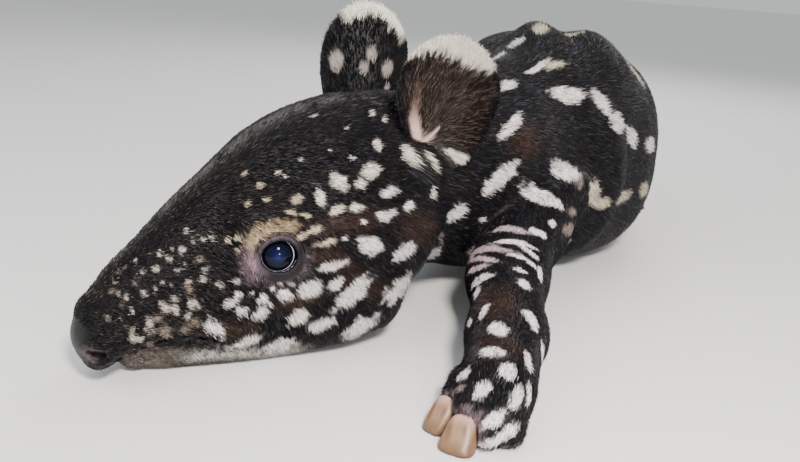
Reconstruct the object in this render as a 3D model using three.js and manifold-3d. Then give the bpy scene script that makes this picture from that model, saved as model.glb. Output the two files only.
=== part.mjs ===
// Malayan tapir calf lying on the floor, at life size, in millimetres.
// +Z is up, the floor is Z 0, the trunk runs back along +Y and the calf's left side is +X.
// The chin rests on the floor, the head is turned to the calf's right, the left foreleg is
// stretched forward and the other legs are folded beside the body.
import * as THREE from 'three';
import { mergeVertices } from 'three/addons/utils/BufferGeometryUtils.js';
import Module from 'manifold-3d';

const wasm = await Module();
wasm.setup();

// Driving dimensions
const GAP = 0.3;
const SHORTEST_EDGE = 0.02;
const FLOOR = 0;
const CHIN_BEHIND_NOSE = 38;
const HEAD_TURN = THREE.MathUtils.degToRad(40);
const CHIN_AT = [-139, 375];
const EYE_RADIUS = 12;
const EYE_SIDE = 34;
const EYE_BEHIND_NOSE = 102;
const EYE_HEIGHT = 69;
const EAR_THICKNESS = 4.4;
const MOUTH_GAP = 1.2;
const LID_THICKNESS = 2.6;
const LID_SLIMMING = 1.3;
const LID_OPENING = THREE.MathUtils.degToRad(48);
const LID_REACH = THREE.MathUtils.degToRad(96);
const NOSTRIL_AT = [8, 13.5, 21];
const NOSTRIL_RADII = [5.5, 3.6, 4.2];
const NOSTRIL_SLANT = THREE.MathUtils.degToRad(38);
const TRUNK_MIDDLE = 128;
const TRUNK_HALF_WIDTH = 107;
const TRUNK_HEIGHT = 182;
const HAUNCH_FROM_MIDDLE = 76;
const HAUNCH_FRONT = 756;

// Fineness of each surface: edge length of the cells that it is drawn in
const CELL_HEAD = 10.6;
const CELL_NECK = 18;
const CELL_TRUNK = 22;
const CELL_LEG = 14;
const CELL_FOOT = 10.2;
const CELL_TAIL = 8;

// Colours
const COAT = 0x241d1b;
const COAT_PALE = 0xcfc6b8;
const EAR_BROWN = 0x33241d;
const EYE_BLUE = 0x141c33;
const HOOF_TAN = 0xc79f7c;

// Plain arithmetic

function mix(a, b, t) {
  return a + (b - a) * t;
}

function clamp(value, low, high) {
  return Math.min(Math.max(value, low), high);
}

// The lesser of two distances, rounded over a width where they are close
function blend(a, b, width) {
  const h = Math.max(width - Math.abs(a - b), 0) / width;
  return Math.min(a, b) - h * h * width * 0.25;
}

// Values of a row of stations at one place, on a smooth curve through them
function along(stations, key, at) {
  const last = stations.length - 1;
  let i = 0;
  while (i < last - 1 && at > stations[i + 1].at) i += 1;
  const [a, b] = [stations[i], stations[i + 1]];
  const before = stations[Math.max(i - 1, 0)];
  const after = stations[Math.min(i + 2, last)];
  const span = b.at - a.at;
  const slopeA = (b[key] - before[key]) / (b.at - before.at);
  const slopeB = (after[key] - a[key]) / (after.at - a.at);
  const t = clamp((at - a.at) / span, 0, 1);
  const t2 = t * t;
  const t3 = t2 * t;
  return (2 * t3 - 3 * t2 + 1) * a[key] + (t3 - 2 * t2 + t) * span * slopeA
    + (3 * t2 - 2 * t3) * b[key] + (t3 - t2) * span * slopeB;
}

// Distance forms. Each takes a point and gives about the distance to the surface, in mm,
// below zero inside.

function ellipsoid(x, y, z, centre, radii) {
  const px = (x - centre[0]) / radii[0];
  const py = (y - centre[1]) / radii[1];
  const pz = (z - centre[2]) / radii[2];
  const k = Math.hypot(px, py, pz);
  const g = Math.hypot(px / radii[0], py / radii[1], pz / radii[2]);
  return k * (k - 1) / Math.max(g, 1e-6);
}

// A row of joined round limbs: points with a radius each
function limb(x, y, z, points, width) {
  let distance = Infinity;
  for (let i = 0; i + 1 < points.length; i += 1) {
    const [ax, ay, az, ar] = points[i];
    const [bx, by, bz, br] = points[i + 1];
    const [dx, dy, dz] = [bx - ax, by - ay, bz - az];
    const reach = (x - ax) * dx + (y - ay) * dy + (z - az) * dz;
    const t = clamp(reach / (dx * dx + dy * dy + dz * dz), 0, 1);
    const away = Math.hypot(x - ax - t * dx, y - ay - t * dy, z - az - t * dz);
    const part = away - mix(ar, br, t);
    distance = i === 0 ? part : blend(distance, part, width);
  }
  return distance;
}

// A long body with a top, a bottom, a half width, a taper towards the top and a middle that
// change along its length, closed by round ends
function loft(at, side, z, stations, capStart, capEnd) {
  const start = stations[0].at;
  const end = stations[stations.length - 1].at;
  const here = clamp(at, start, end);
  const top = along(stations, 'top', here);
  const low = along(stations, 'low', here);
  const half = along(stations, 'half', here);
  const taper = along(stations, 'taper', here);
  const middle = along(stations, 'middle', here);
  const square = along(stations, 'square', here);
  const height = (top - low) / 2;
  const up = (z - (top + low) / 2) / height;
  const wide = half * (1 - taper * clamp(up, -1, 1));
  const across = Math.abs(side - middle) / wide;
  const ring = Math.pow(Math.pow(across, square) + Math.pow(Math.abs(up), square), 1 / square);
  const past = at < start ? (start - at) / capStart : Math.max(at - end, 0) / capEnd;
  return (Math.hypot(ring, past) - 1) * Math.min(half, height);
}

// Head, in its own frame: distance behind the nose tip, side to the calf's left, height

const FORWARD = [-Math.cos(HEAD_TURN), -Math.sin(HEAD_TURN)];
const LEFTWARD = [Math.sin(HEAD_TURN), -Math.cos(HEAD_TURN)];

function toHead(x, y, z) {
  const [dx, dy] = [x - CHIN_AT[0], y - CHIN_AT[1]];
  const behind = CHIN_BEHIND_NOSE - dx * FORWARD[0] - dy * FORWARD[1];
  return [behind, dx * LEFTWARD[0] + dy * LEFTWARD[1], z];
}

function fromHead(behind, side, z) {
  const ahead = CHIN_BEHIND_NOSE - behind;
  return [
    CHIN_AT[0] + ahead * FORWARD[0] + side * LEFTWARD[0],
    CHIN_AT[1] + ahead * FORWARD[1] + side * LEFTWARD[1],
    z,
  ];
}

const SKULL = [
  { at: 10, top: 46, low: 8, half: 17, taper: 0.1, middle: 0, square: 2.2 },
  { at: 22, top: 61, low: 11, half: 20, taper: 0.12, middle: 0, square: 2.2 },
  { at: 36, top: 76, low: 12, half: 24, taper: 0.16, middle: 0, square: 2.2 },
  { at: 56, top: 95, low: 6, half: 30, taper: 0.24, middle: 0, square: 2.3 },
  { at: 78, top: 113, low: 0, half: 35, taper: 0.28, middle: 0, square: 2.4 },
  { at: 104, top: 133, low: -2, half: 43, taper: 0.28, middle: 0, square: 2.5 },
  { at: 132, top: 146, low: -2, half: 50, taper: 0.3, middle: 0, square: 2.5 },
  { at: 162, top: 153, low: 4, half: 55, taper: 0.32, middle: 0, square: 2.4 },
  { at: 196, top: 152, low: 22, half: 53, taper: 0.26, middle: 0, square: 2.2 },
];

const LOWER_JAW = [
  { at: 34, top: 23, low: 0, half: 12, taper: -0.05, middle: 0, square: 2.3 },
  { at: 46, top: 27, low: -2, half: 18, taper: -0.05, middle: 0, square: 2.6 },
  { at: 79, top: 34, low: -3, half: 30, taper: -0.05, middle: 0, square: 2.8 },
  { at: 106, top: 44, low: -3, half: 40, taper: 0.02, middle: 0, square: 2.8 },
  { at: 137, top: 60, low: -2, half: 51, taper: 0.08, middle: 0, square: 2.7 },
  { at: 168, top: 76, low: 2, half: 59, taper: 0.1, middle: 0, square: 2.5 },
];

function headForm(x, y, z) {
  const [behind, side, up] = toHead(x, y, z);
  const twin = Math.abs(side);
  let d = loft(behind, side, up, SKULL, 11, 30);
  d = blend(d, loft(behind, side, up, LOWER_JAW, 13, 30), 6);
  d = blend(d, ellipsoid(behind, side, up, [11, 0, 27], [12, 18, 19]), 6);
  d = blend(d, ellipsoid(behind, twin, up, [150, 36, 54], [44, 20, 40]), 14);
  d = blend(d, ellipsoid(behind, twin, up, [106, 29, 88], [26, 14, 13]), 12);
  return d;
}

// Neck, trunk and tail

const NECK = [
  [-12, 493, 92, 55],
  [46, 550, 104, 61],
  [106, 620, 104, 68],
];

// Throat: the loose flesh that hangs below the neck, nearly to the floor
const THROAT = [
  [-10, 500, 70, 44],
  [50, 560, 66, 52],
  [110, 625, 80, 62],
];

const TRUNK = [
  { at: 585, top: 168, low: 8, half: 68, taper: 0.12, middle: 108, square: 2.2 },
  { at: 625, top: 175, low: -2, half: 90, taper: 0.09, middle: 119, square: 2.5 },
  { at: 670, top: 179, low: -3, half: 103, taper: 0.06, middle: 125, square: 2.6 },
  { at: 730, top: TRUNK_HEIGHT, low: -3, half: TRUNK_HALF_WIDTH, taper: 0.05, middle: TRUNK_MIDDLE, square: 2.6 },
  { at: 800, top: TRUNK_HEIGHT, low: -3, half: 104, taper: 0.08, middle: TRUNK_MIDDLE, square: 2.4 },
  { at: 860, top: 174, low: -2, half: 94, taper: 0.1, middle: TRUNK_MIDDLE, square: 2.3 },
  { at: 900, top: 156, low: 2, half: 80, taper: 0.08, middle: TRUNK_MIDDLE, square: 2.2 },
];

const SHOULDER_BLADES = [
  { centre: [143, 648, 114], radii: [40, 64, 78] },
  { centre: [98, 636, 117], radii: [36, 62, 80] },
];

const TAIL = [
  [TRUNK_MIDDLE, 915, 128, 16],
  [TRUNK_MIDDLE, 944, 116, 12],
  [TRUNK_MIDDLE, 956, 92, 7],
];

function trunkForm(x, y, z) {
  let d = loft(y, x, z, TRUNK, 34, 40);
  for (const blade of SHOULDER_BLADES) {
    d = blend(d, ellipsoid(x, y, z, blade.centre, blade.radii), 24);
  }
  return d;
}

// Legs: points down the middle of each, with their radii

const FORELEG_LEFT = [
  [128, 602, 93, 40],
  [90, 519, 56, 32],
  [74, 462, 38, 26],
  [68, 398, 27, 22.5],
  [58, 346, 23, 21.5],
];

const FORELEG_RIGHT = [
  [78, 650, 76, 40],
  [22, 650, 38, 34],
  [-20, 626, 29, 27],
  [-56, 600, 24, 22],
  [-84, 578, 20, 21],
];

function hindLeg(side) {
  const x = (out) => TRUNK_MIDDLE + side * out;
  return {
    haunch: { centre: [x(64), 846, 74], radii: [48, 84, 74] },
    shank: [[x(76), 792, 36, 28], [x(86), 850, 29, 27], [x(92), 904, 24, 21]],
    foot: [[x(100), 902, 21, 20], [x(112), 856, 17, 16], [x(117), 824, 15, 15]],
  };
}

const HIND_LEFT = hindLeg(1);
const HIND_RIGHT = hindLeg(-1);

// All that is fused: head, neck, trunk and haunches
function coreForm(x, y, z) {
  let d = blend(headForm(x, y, z), limb(x, y, z, NECK, 20), 16);
  d = blend(d, limb(x, y, z, THROAT, 20), 16);
  d = blend(d, trunkForm(x, y, z), 18);
  for (const { haunch } of [HIND_LEFT, HIND_RIGHT]) {
    d = blend(d, ellipsoid(x, y, z, haunch.centre, haunch.radii), 16);
  }
  return d;
}

// Surface of a distance form inside a box, as a closed mesh of four-sided patches split in two.
// Each cell that the surface crosses gets one corner, moved onto the surface and then outward by
// what the solid has to grow.
function surface(form, box, cell, grow = 0) {
  const [lowest, highest] = box;
  const count = lowest.map((low, axis) => Math.ceil((highest[axis] - low) / cell) + 1);
  const [nx, ny, nz] = count;
  const index = (i, j, k) => (i * ny + j) * nz + k;
  const place = (axis, i) => lowest[axis] + i * cell;
  const value = new Float64Array(nx * ny * nz);
  for (let i = 0; i < nx; i += 1) {
    for (let j = 0; j < ny; j += 1) {
      for (let k = 0; k < nz; k += 1) {
        const edge = i === 0 || j === 0 || k === 0 || i === nx - 1 || j === ny - 1 || k === nz - 1;
        const d = form(place(0, i), place(1, j), place(2, k));
        value[index(i, j, k)] = edge ? Math.max(d, 0.4 * cell) : d;
      }
    }
  }
  const corners = [];
  const cornerOf = new Map();
  for (let i = 0; i + 1 < nx; i += 1) {
    for (let j = 0; j + 1 < ny; j += 1) {
      for (let k = 0; k + 1 < nz; k += 1) {
        const sum = [0, 0, 0];
        let crossings = 0;
        for (let axis = 0; axis < 3; axis += 1) {
          for (let pair = 0; pair < 4; pair += 1) {
            const from = [0, 0, 0];
            from[(axis + 1) % 3] = pair & 1;
            from[(axis + 2) % 3] = pair >> 1;
            const to = [...from];
            to[axis] = 1;
            const a = value[index(i + from[0], j + from[1], k + from[2])];
            const b = value[index(i + to[0], j + to[1], k + to[2])];
            if ((a < 0) === (b < 0)) continue;
            const t = a / (a - b);
            for (let n = 0; n < 3; n += 1) sum[n] += mix(from[n], to[n], t);
            crossings += 1;
          }
        }
        if (crossings === 0) continue;
        const point = sum.map((s, n) => lowest[n] + ([i, j, k][n] + s / crossings) * cell);
        cornerOf.set(index(i, j, k), corners.length);
        corners.push(settle(form, point, cell, grow));
      }
    }
  }
  const faces = [];
  const patch = (a, b, c, d, flip) => {
    const [p, q, r, s] = [a, b, c, d].map((key) => cornerOf.get(key));
    const first = apart(corners[p], corners[r]);
    const second = apart(corners[q], corners[s]);
    const pair = first < second ? [[p, q, r], [p, r, s]] : [[p, q, s], [q, r, s]];
    for (const [u, v, w] of pair) faces.push(flip ? [u, w, v] : [u, v, w]);
  };
  for (let i = 0; i + 1 < nx; i += 1) {
    for (let j = 0; j + 1 < ny; j += 1) {
      for (let k = 0; k + 1 < nz; k += 1) {
        const here = value[index(i, j, k)] < 0;
        if (j && k && here !== value[index(i + 1, j, k)] < 0) {
          patch(index(i, j - 1, k - 1), index(i, j, k - 1), index(i, j, k), index(i, j - 1, k), !here);
        }
        if (i && k && here !== value[index(i, j + 1, k)] < 0) {
          patch(index(i - 1, j, k - 1), index(i - 1, j, k), index(i, j, k), index(i, j, k - 1), !here);
        }
        if (i && j && here !== value[index(i, j, k + 1)] < 0) {
          patch(index(i - 1, j - 1, k), index(i, j - 1, k), index(i, j, k), index(i - 1, j, k), !here);
        }
      }
    }
  }
  return solidOf(corners, faces);
}

function apart(a, b) {
  return Math.hypot(a[0] - b[0], a[1] - b[1], a[2] - b[2]);
}

function steepness(form, [x, y, z]) {
  const step = 0.2;
  return [
    (form(x + step, y, z) - form(x - step, y, z)) / (2 * step),
    (form(x, y + step, z) - form(x, y - step, z)) / (2 * step),
    (form(x, y, z + step) - form(x, y, z - step)) / (2 * step),
  ];
}

// Moves a point onto the surface of a form, by at most a third of a cell, and then outward
function settle(form, start, cell, grow) {
  let point = start;
  for (let round = 0; round < 2; round += 1) {
    const slope = steepness(form, point);
    const move = form(...point) / Math.max(slope[0] ** 2 + slope[1] ** 2 + slope[2] ** 2, 0.05);
    point = point.map((at, n) => at - slope[n] * move);
  }
  if (apart(point, start) > cell / 3) point = start;
  if (grow === 0) return point;
  const slope = steepness(form, point);
  const steep = Math.max(Math.hypot(...slope), 0.05);
  return point.map((at, n) => at + slope[n] / steep * grow);
}

// Solids for joining and cutting

function solidOf(corners, faces) {
  const mesh = new wasm.Mesh({
    numProp: 3,
    vertProperties: new Float32Array(corners.flat()),
    triVerts: new Uint32Array(faces.flat()),
    tolerance: SHORTEST_EDGE,
  });
  return new wasm.Manifold(mesh);
}

function solidFrom(geometry) {
  const plain = geometry.clone();
  plain.deleteAttribute('normal');
  plain.deleteAttribute('uv');
  const merged = mergeVertices(plain, 1e-4);
  return new wasm.Manifold(new wasm.Mesh({
    numProp: 3,
    vertProperties: new Float32Array(merged.attributes.position.array),
    triVerts: new Uint32Array(merged.index.array),
    tolerance: SHORTEST_EDGE,
  }));
}

// Keeps the side of a plane that its direction points to. The plane goes through a point.
function keepSide(solid, direction, point, back = 0) {
  const length = Math.hypot(...direction);
  const unit = direction.map((n) => n / length);
  const offset = unit[0] * point[0] + unit[1] * point[1] + unit[2] * point[2] + back;
  return solid.trimByPlane(unit, offset);
}

function largest(solid) {
  const pieces = solid.decompose();
  return pieces.reduce((best, piece) => (piece.volume() > best.volume() ? piece : best));
}

function reverse(direction) {
  return direction.map((n) => -n);
}

// The thin cuts that part the body, each a plane through a point, facing forward or outward
const CUTS = {
  head: { toward: [FORWARD[0], FORWARD[1], 0], point: fromHead(206, 0, 80) },
  shoulder: { toward: [-0.62, -0.78, 0.05], point: [72, 588, 100] },
  loin: { toward: [0, -1, 0], point: [121, 728, 90] },
  rump: { toward: [0, -1, 0], point: [121, 822, 90] },
  elbowLeft: { toward: [-0.24, -0.95, -0.2], point: [86, 484, 42] },
  wristLeft: { toward: [-0.16, -0.98, -0.05], point: [66, 376, 26] },
  elbowRight: { toward: [-0.85, -0.5, -0.1], point: [-8, 634, 32] },
  wristRight: { toward: [-0.8, -0.58, 0], point: [-64, 594, 22] },
};

function ahead(solid, cut) {
  return keepSide(solid, cut.toward, cut.point, GAP / 2);
}

function behind(solid, cut) {
  return keepSide(solid, reverse(cut.toward), cut.point, GAP / 2);
}

function onFloor(solid) {
  return keepSide(solid, [0, 0, 1], [0, 0, FLOOR]);
}

// Head pieces

const EYES = [1, -1].map((side) => ({
  side,
  centre: fromHead(EYE_BEHIND_NOSE, side * EYE_SIDE, EYE_HEIGHT),
}));

function ball(centre, radius) {
  const geometry = new THREE.IcosahedronGeometry(radius, 2);
  geometry.translate(...centre);
  return geometry;
}

// Lids: a ring lathed about the eye's own line of sight, hugging the eyeball
function lidRing(eye) {
  const outer = EYE_RADIUS + LID_THICKNESS;
  const profile = [];
  const steps = 4;
  for (let i = 0; i <= steps; i += 1) {
    const angle = mix(LID_OPENING, LID_REACH, i / steps);
    const swell = outer - LID_SLIMMING * (i / steps) ** 2;
    profile.push(new THREE.Vector2(swell * Math.sin(angle), swell * Math.cos(angle)));
  }
  profile.push(new THREE.Vector2(EYE_RADIUS * 0.55, EYE_RADIUS * 0.2));
  profile.push(profile[0].clone());
  const geometry = new THREE.LatheGeometry(profile.reverse(), 16);
  geometry.scale(1, 1, 0.94);
  const sight = new THREE.Vector3(
    ...fromHead(EYE_BEHIND_NOSE - 22, eye.side * 100, EYE_HEIGHT + 8),
  ).sub(new THREE.Vector3(...eye.centre)).normalize();
  const turn = new THREE.Quaternion().setFromUnitVectors(new THREE.Vector3(0, 1, 0), sight);
  geometry.applyQuaternion(turn);
  geometry.translate(...eye.centre);
  return solidFrom(geometry);
}

const MOUTH_LINE = [
  { at: 24, height: 13 },
  { at: 36, height: 23 },
  { at: 52, height: 26 },
  { at: 64, height: 23 },
  { at: 76, height: 17 },
];

// The lower jaw's share of the head: all below the mouth line, as far back as the mouth's corner
function jawBlock(lift, reach) {
  const outline = new THREE.Shape();
  const first = MOUTH_LINE[0];
  const last = MOUTH_LINE[MOUTH_LINE.length - 1];
  outline.moveTo(-first.at + 30, -20);
  outline.lineTo(-first.at + 30, first.height - 8 + lift);
  for (let at = first.at; at <= last.at; at += 6.5) {
    outline.lineTo(-at, along(MOUTH_LINE, 'height', at) + lift);
  }
  outline.lineTo(-last.at - reach, last.height - 6 + lift);
  outline.lineTo(-last.at - reach, -20);
  const geometry = new THREE.ExtrudeGeometry(outline, { depth: 120, bevelEnabled: false });
  geometry.translate(0, 0, -60);
  geometry.rotateX(Math.PI / 2);
  geometry.translate(CHIN_BEHIND_NOSE, 0, 0);
  geometry.rotateZ(Math.atan2(FORWARD[1], FORWARD[0]));
  geometry.translate(CHIN_AT[0], CHIN_AT[1], 0);
  return solidFrom(geometry);
}

function nostril(side) {
  const geometry = new THREE.IcosahedronGeometry(1, 1);
  geometry.scale(...NOSTRIL_RADII);
  geometry.rotateZ(-side * NOSTRIL_SLANT);
  geometry.rotateZ(Math.atan2(FORWARD[1], FORWARD[0]));
  geometry.translate(...fromHead(NOSTRIL_AT[0], side * NOSTRIL_AT[1], NOSTRIL_AT[2]));
  return solidFrom(geometry);
}

const HEAD_BOX = [[-200, 310, -14], [60, 600, 176]];
const NECK_BOX = [[-90, 430, -14], [200, 690, 230]];
const TRUNK_BOX = [[-40, 530, -14], [290, 990, 220]];

const EARS = {
  left: { base: [209, 48, 111], tip: [198, 57, 191], opening: [0.6, 0.8, 0.12], half: 34 },
  right: { base: [206, -40, 118], tip: [209, -42, 203], opening: [-0.45, -0.9, 0.12], half: 35 },
};

// An ear: a cupped leaf about its own line from base to tip, thick at the root and thin at the
// rim, with a stalk that widens where it leaves the head
function earSolid(ear) {
  const base = new THREE.Vector3(...fromHead(...ear.base));
  const tip = new THREE.Vector3(...fromHead(...ear.tip));
  const up = tip.clone().sub(base);
  const height = up.length();
  up.normalize();
  const [ahead, out, rise] = ear.opening;
  const open = new THREE.Vector3(
    ahead * FORWARD[0] + out * LEFTWARD[0],
    ahead * FORWARD[1] + out * LEFTWARD[1],
    rise,
  );
  open.addScaledVector(up, -open.dot(up)).normalize();
  const across = new THREE.Vector3().crossVectors(up, open);
  const geometry = new THREE.SphereGeometry(1, 18, 10);
  geometry.rotateX(Math.PI / 2);
  const position = geometry.attributes.position;
  for (let i = 0; i < position.count; i += 1) {
    const [u, v, side] = [position.getX(i), position.getY(i), position.getZ(i)];
    const rise = (v + 1) / 2;
    const arc = u * ear.half * mix(0.72, 1, Math.min(rise * 1.6, 1));
    const curl = mix(1.3, 0.5, Math.min(rise * 1.25, 1));
    const bend = ear.half / curl;
    const angle = arc / bend;
    const thick = EAR_THICKNESS * 0.5 * side * mix(1.5, 0.8, rise);
    const reach = bend - thick;
    const sideways = reach * Math.sin(angle);
    const depth = bend - reach * Math.cos(angle) - 13 * (1 - rise) - 3;
    const point = base.clone()
      .addScaledVector(up, mix(-6, height, rise))
      .addScaledVector(across, sideways)
      .addScaledVector(open, depth);
    position.setXYZ(i, point.x, point.y, point.z);
  }
  let leaf = solidFrom(geometry);
  if (leaf.volume() < 0) leaf = solidFrom(flipped(geometry));
  const stalk = new THREE.SphereGeometry(1, 12, 8);
  stalk.scale(13, 13, 20);
  const turn = new THREE.Quaternion().setFromUnitVectors(new THREE.Vector3(0, 0, 1), up);
  stalk.applyQuaternion(turn);
  const root = base.clone().addScaledVector(up, 6).addScaledVector(open, -18);
  stalk.translate(root.x, root.y, root.z);
  return leaf.add(solidFrom(stalk));
}

function flipped(geometry) {
  const turned = geometry.clone();
  const order = turned.index.array;
  for (let i = 0; i < order.length; i += 3) [order[i], order[i + 1]] = [order[i + 1], order[i]];
  return turned;
}

// Hooves

// A hoof: a blunt wedge, flat below, narrower and lower towards its tip
function hoof(place, toward, size, grow = 0) {
  const geometry = new THREE.SphereGeometry(1, 8, 6);
  const position = geometry.attributes.position;
  const heading = Math.atan2(toward[1], toward[0]);
  for (let i = 0; i < position.count; i += 1) {
    const [u, v, w] = [position.getX(i), position.getZ(i), position.getY(i)];
    const along = u * (size.length / 2 + grow);
    const side = v * (size.half + grow) * (1 - 0.22 * u);
    const up = size.half * 0.62 + w * (size.height / 2 + grow) * (1 - 0.3 * u);
    const x = place[0] + along * Math.cos(heading) - side * Math.sin(heading);
    const y = place[1] + along * Math.sin(heading) + side * Math.cos(heading);
    position.setXYZ(i, x, y, Math.max(place[2] + up - size.half * 0.62, FLOOR - grow));
  }
  let solid = solidFrom(geometry);
  if (solid.volume() < 0) solid = solidFrom(flipped(geometry));
  return solid;
}

// Where the toes are: each from a root in the foot to the middle of its hoof, with its sizes
const BIG = { length: 26, half: 11, height: 19 };
const MIDDLE = { length: 24, half: 10, height: 18 };
const FRONT = { length: 21, half: 11, height: 17 };
const SIDE = { length: 20, half: 10, height: 18 };
const LOW = { length: 18, half: 9, height: 10 };
const SMALL = { length: 16, half: 7, height: 12 };

const FEET = {
  forefoot_left: {
    toes: [
      { root: [38, 352, 17], tip: [29.5, 337, 9], radius: 9, size: SIDE },
      { root: [46, 341, 17], tip: [38.5, 321.5, 8.5], radius: 12, size: FRONT },
      { root: [64, 346, 14], tip: [62, 328, 7], radius: 12, size: LOW },
      { root: [70, 386, 14], tip: [79, 378, 7], radius: 8, size: SMALL },
    ],
  },
  forefoot_right: {
    toes: [
      { root: [-92, 566, 16], tip: [-98, 548, 9], radius: 10, size: MIDDLE },
      { root: [-100, 572, 16], tip: [-116, 556, 9], radius: 11, size: BIG },
      { root: [-100, 582, 15], tip: [-120, 577, 8], radius: 10, size: MIDDLE },
      { root: [-90, 590, 13], tip: [-105, 598, 7], radius: 8, size: SMALL },
    ],
  },
};

function hindToes(side) {
  const x = (out) => TRUNK_MIDDLE + side * out;
  return {
    toes: [
      { root: [x(112), 820, 13], tip: [x(107), 800, 8], radius: 9, size: MIDDLE },
      { root: [x(118), 817, 13], tip: [x(119), 792, 8], radius: 10, size: BIG },
      { root: [x(124), 821, 13], tip: [x(131), 804, 8], radius: 9, size: MIDDLE },
    ],
  };
}

FEET.hindfoot_left = hindToes(1);
FEET.hindfoot_right = hindToes(-1);

function toesForm(x, y, z, foot) {
  let d = Infinity;
  for (const toe of foot.toes) {
    const rod = [[...toe.root, toe.radius + 2], [...toe.tip, toe.radius - 1]];
    d = Math.min(d, limb(x, y, z, rod, 1));
  }
  return d;
}

// Building

const calf = new THREE.Group();

function addNode(name, solid, colour, roughness = 0.85) {
  const kept = largest(solid).simplify(SHORTEST_EDGE);
  const { numProp, vertProperties, triVerts } = kept.getMesh();
  const position = new Float32Array(vertProperties.length / numProp * 3);
  for (let i = 0; i < position.length / 3; i += 1) {
    for (let n = 0; n < 3; n += 1) position[3 * i + n] = vertProperties[numProp * i + n];
  }
  const geometry = new THREE.BufferGeometry();
  geometry.setAttribute('position', new THREE.BufferAttribute(position, 3));
  geometry.setIndex([...triVerts]);
  const material = new THREE.MeshStandardMaterial({ color: colour, roughness, metalness: 0 });
  const mesh = new THREE.Mesh(geometry, material);
  mesh.name = name;
  calf.add(mesh);
}

function buildHead() {
  let head = onFloor(ahead(surface(coreForm, HEAD_BOX, CELL_HEAD), CUTS.head));
  head = largest(head);
  for (const eye of EYES) {
    head = head.add(lidRing(eye));
  }
  for (const eye of EYES) {
    const name = `eye_${eye.side > 0 ? 'left' : 'right'}`;
    head = head.subtract(solidFrom(ball(eye.centre, EYE_RADIUS + GAP)));
    addNode(name, solidFrom(ball(eye.centre, EYE_RADIUS)), EYE_BLUE, 0.1);
  }
  for (const side of [1, -1]) head = head.subtract(nostril(side));
  const jaw = head.intersect(jawBlock(0, 0));
  const rest = head.subtract(jawBlock(MOUTH_GAP, GAP));
  addNode('head', rest, COAT);
  addNode('lower_jaw', jaw, COAT_PALE);
}

function buildEars() {
  const clearHead = surface(coreForm, HEAD_BOX, CELL_HEAD, GAP);
  const clearNeck = surface(coreForm, NECK_BOX, CELL_NECK, GAP);
  for (const [side, ear] of Object.entries(EARS)) {
    addNode(`ear_${side}`, earSolid(ear).subtract(clearHead).subtract(clearNeck), EAR_BROWN);
  }
}

// A block behind the flank and outside the haunch's inner face
function haunchBlock(side, grow) {
  const block = new THREE.BoxGeometry(120, 300, 300);
  const inner = HAUNCH_FROM_MIDDLE - grow;
  block.translate(TRUNK_MIDDLE + side * (inner + 60), HAUNCH_FRONT - grow + 150, 100);
  return solidFrom(block);
}

function buildTrunk() {
  const neck = surface(coreForm, NECK_BOX, CELL_NECK);
  addNode('neck', onFloor(ahead(behind(neck, CUTS.head), CUTS.shoulder)), COAT);
  const trunk = onFloor(surface(coreForm, TRUNK_BOX, CELL_TRUNK));
  let middle = trunk;
  for (const [name, side] of [['left', 1], ['right', -1]]) {
    addNode(`thigh_${name}`, trunk.intersect(haunchBlock(side, 0)), COAT);
    middle = middle.subtract(haunchBlock(side, GAP));
  }
  addNode('chest', ahead(behind(middle, CUTS.shoulder), CUTS.loin), COAT);
  addNode('belly', ahead(behind(middle, CUTS.loin), CUTS.rump), COAT);
  addNode('rump', behind(middle, CUTS.rump), COAT);
}

function boxAround(points, margin) {
  const low = [0, 1, 2].map((n) => Math.min(...points.map((p) => p[n] - (p[3] ?? 0))) - margin);
  const high = [0, 1, 2].map((n) => Math.max(...points.map((p) => p[n] + (p[3] ?? 0))) + margin);
  return [low, high];
}

function limbSolid(points, width, cell, grow = 0) {
  const form = (x, y, z) => limb(x, y, z, points, width);
  return onFloor(surface(form, boxAround(points, 2 * cell), cell, grow));
}

function buildLegs() {
  const clear = [
    surface(coreForm, NECK_BOX, CELL_NECK, GAP),
    surface(coreForm, TRUNK_BOX, CELL_TRUNK, GAP),
  ];
  const free = (solid) => clear.reduce((rest, core) => rest.subtract(core), solid);
  const forelegs = [
    ['left', FORELEG_LEFT, CUTS.elbowLeft, CUTS.wristLeft],
    ['right', FORELEG_RIGHT, CUTS.elbowRight, CUTS.wristRight],
  ];
  for (const [side, points, elbow, wrist] of forelegs) {
    const leg = free(limbSolid(points, 14, CELL_LEG));
    addNode(`upper_foreleg_${side}`, behind(leg, elbow), COAT);
    addNode(`lower_foreleg_${side}`, behind(ahead(leg, elbow), wrist), COAT);
    buildFoot(`forefoot_${side}`, points, (foot) => ahead(foot, wrist));
  }
  for (const [side, leg] of [['left', HIND_LEFT], ['right', HIND_RIGHT]]) {
    addNode(`shank_${side}`, free(limbSolid(leg.shank, 10, CELL_LEG)), COAT);
    const shank = limbSolid(leg.shank, 10, CELL_LEG, GAP);
    buildFoot(`hindfoot_${side}`, leg.foot, (foot) => free(foot).subtract(shank));
  }
  addNode('tail', free(limbSolid(TAIL, 8, CELL_TAIL)), COAT);
}

// A foot with its toes, less the hooves that cap them
function buildFoot(name, points, trim) {
  const foot = FEET[name];
  const form = (x, y, z) => blend(limb(x, y, z, points, 10), toesForm(x, y, z, foot), 5);
  const reach = [...points.slice(-2), ...foot.toes.map((toe) => [...toe.tip, toe.radius])];
  let solid = trim(onFloor(surface(form, boxAround(reach, 2 * CELL_FOOT), CELL_FOOT)));
  let taken = null;
  foot.toes.forEach((toe, i) => {
    const toward = [toe.tip[0] - toe.root[0], toe.tip[1] - toe.root[1]];
    let shape = hoof(toe.tip, toward, toe.size);
    const grown = hoof(toe.tip, toward, toe.size, GAP);
    if (taken) shape = shape.subtract(taken);
    shape = trim(shape);
    taken = taken ? taken.add(grown) : grown;
    solid = solid.subtract(grown);
    addNode(`hoof_${name}_${i + 1}`, shape, HOOF_TAN, 0.4);
  });
  addNode(name, solid, COAT);
}

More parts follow.
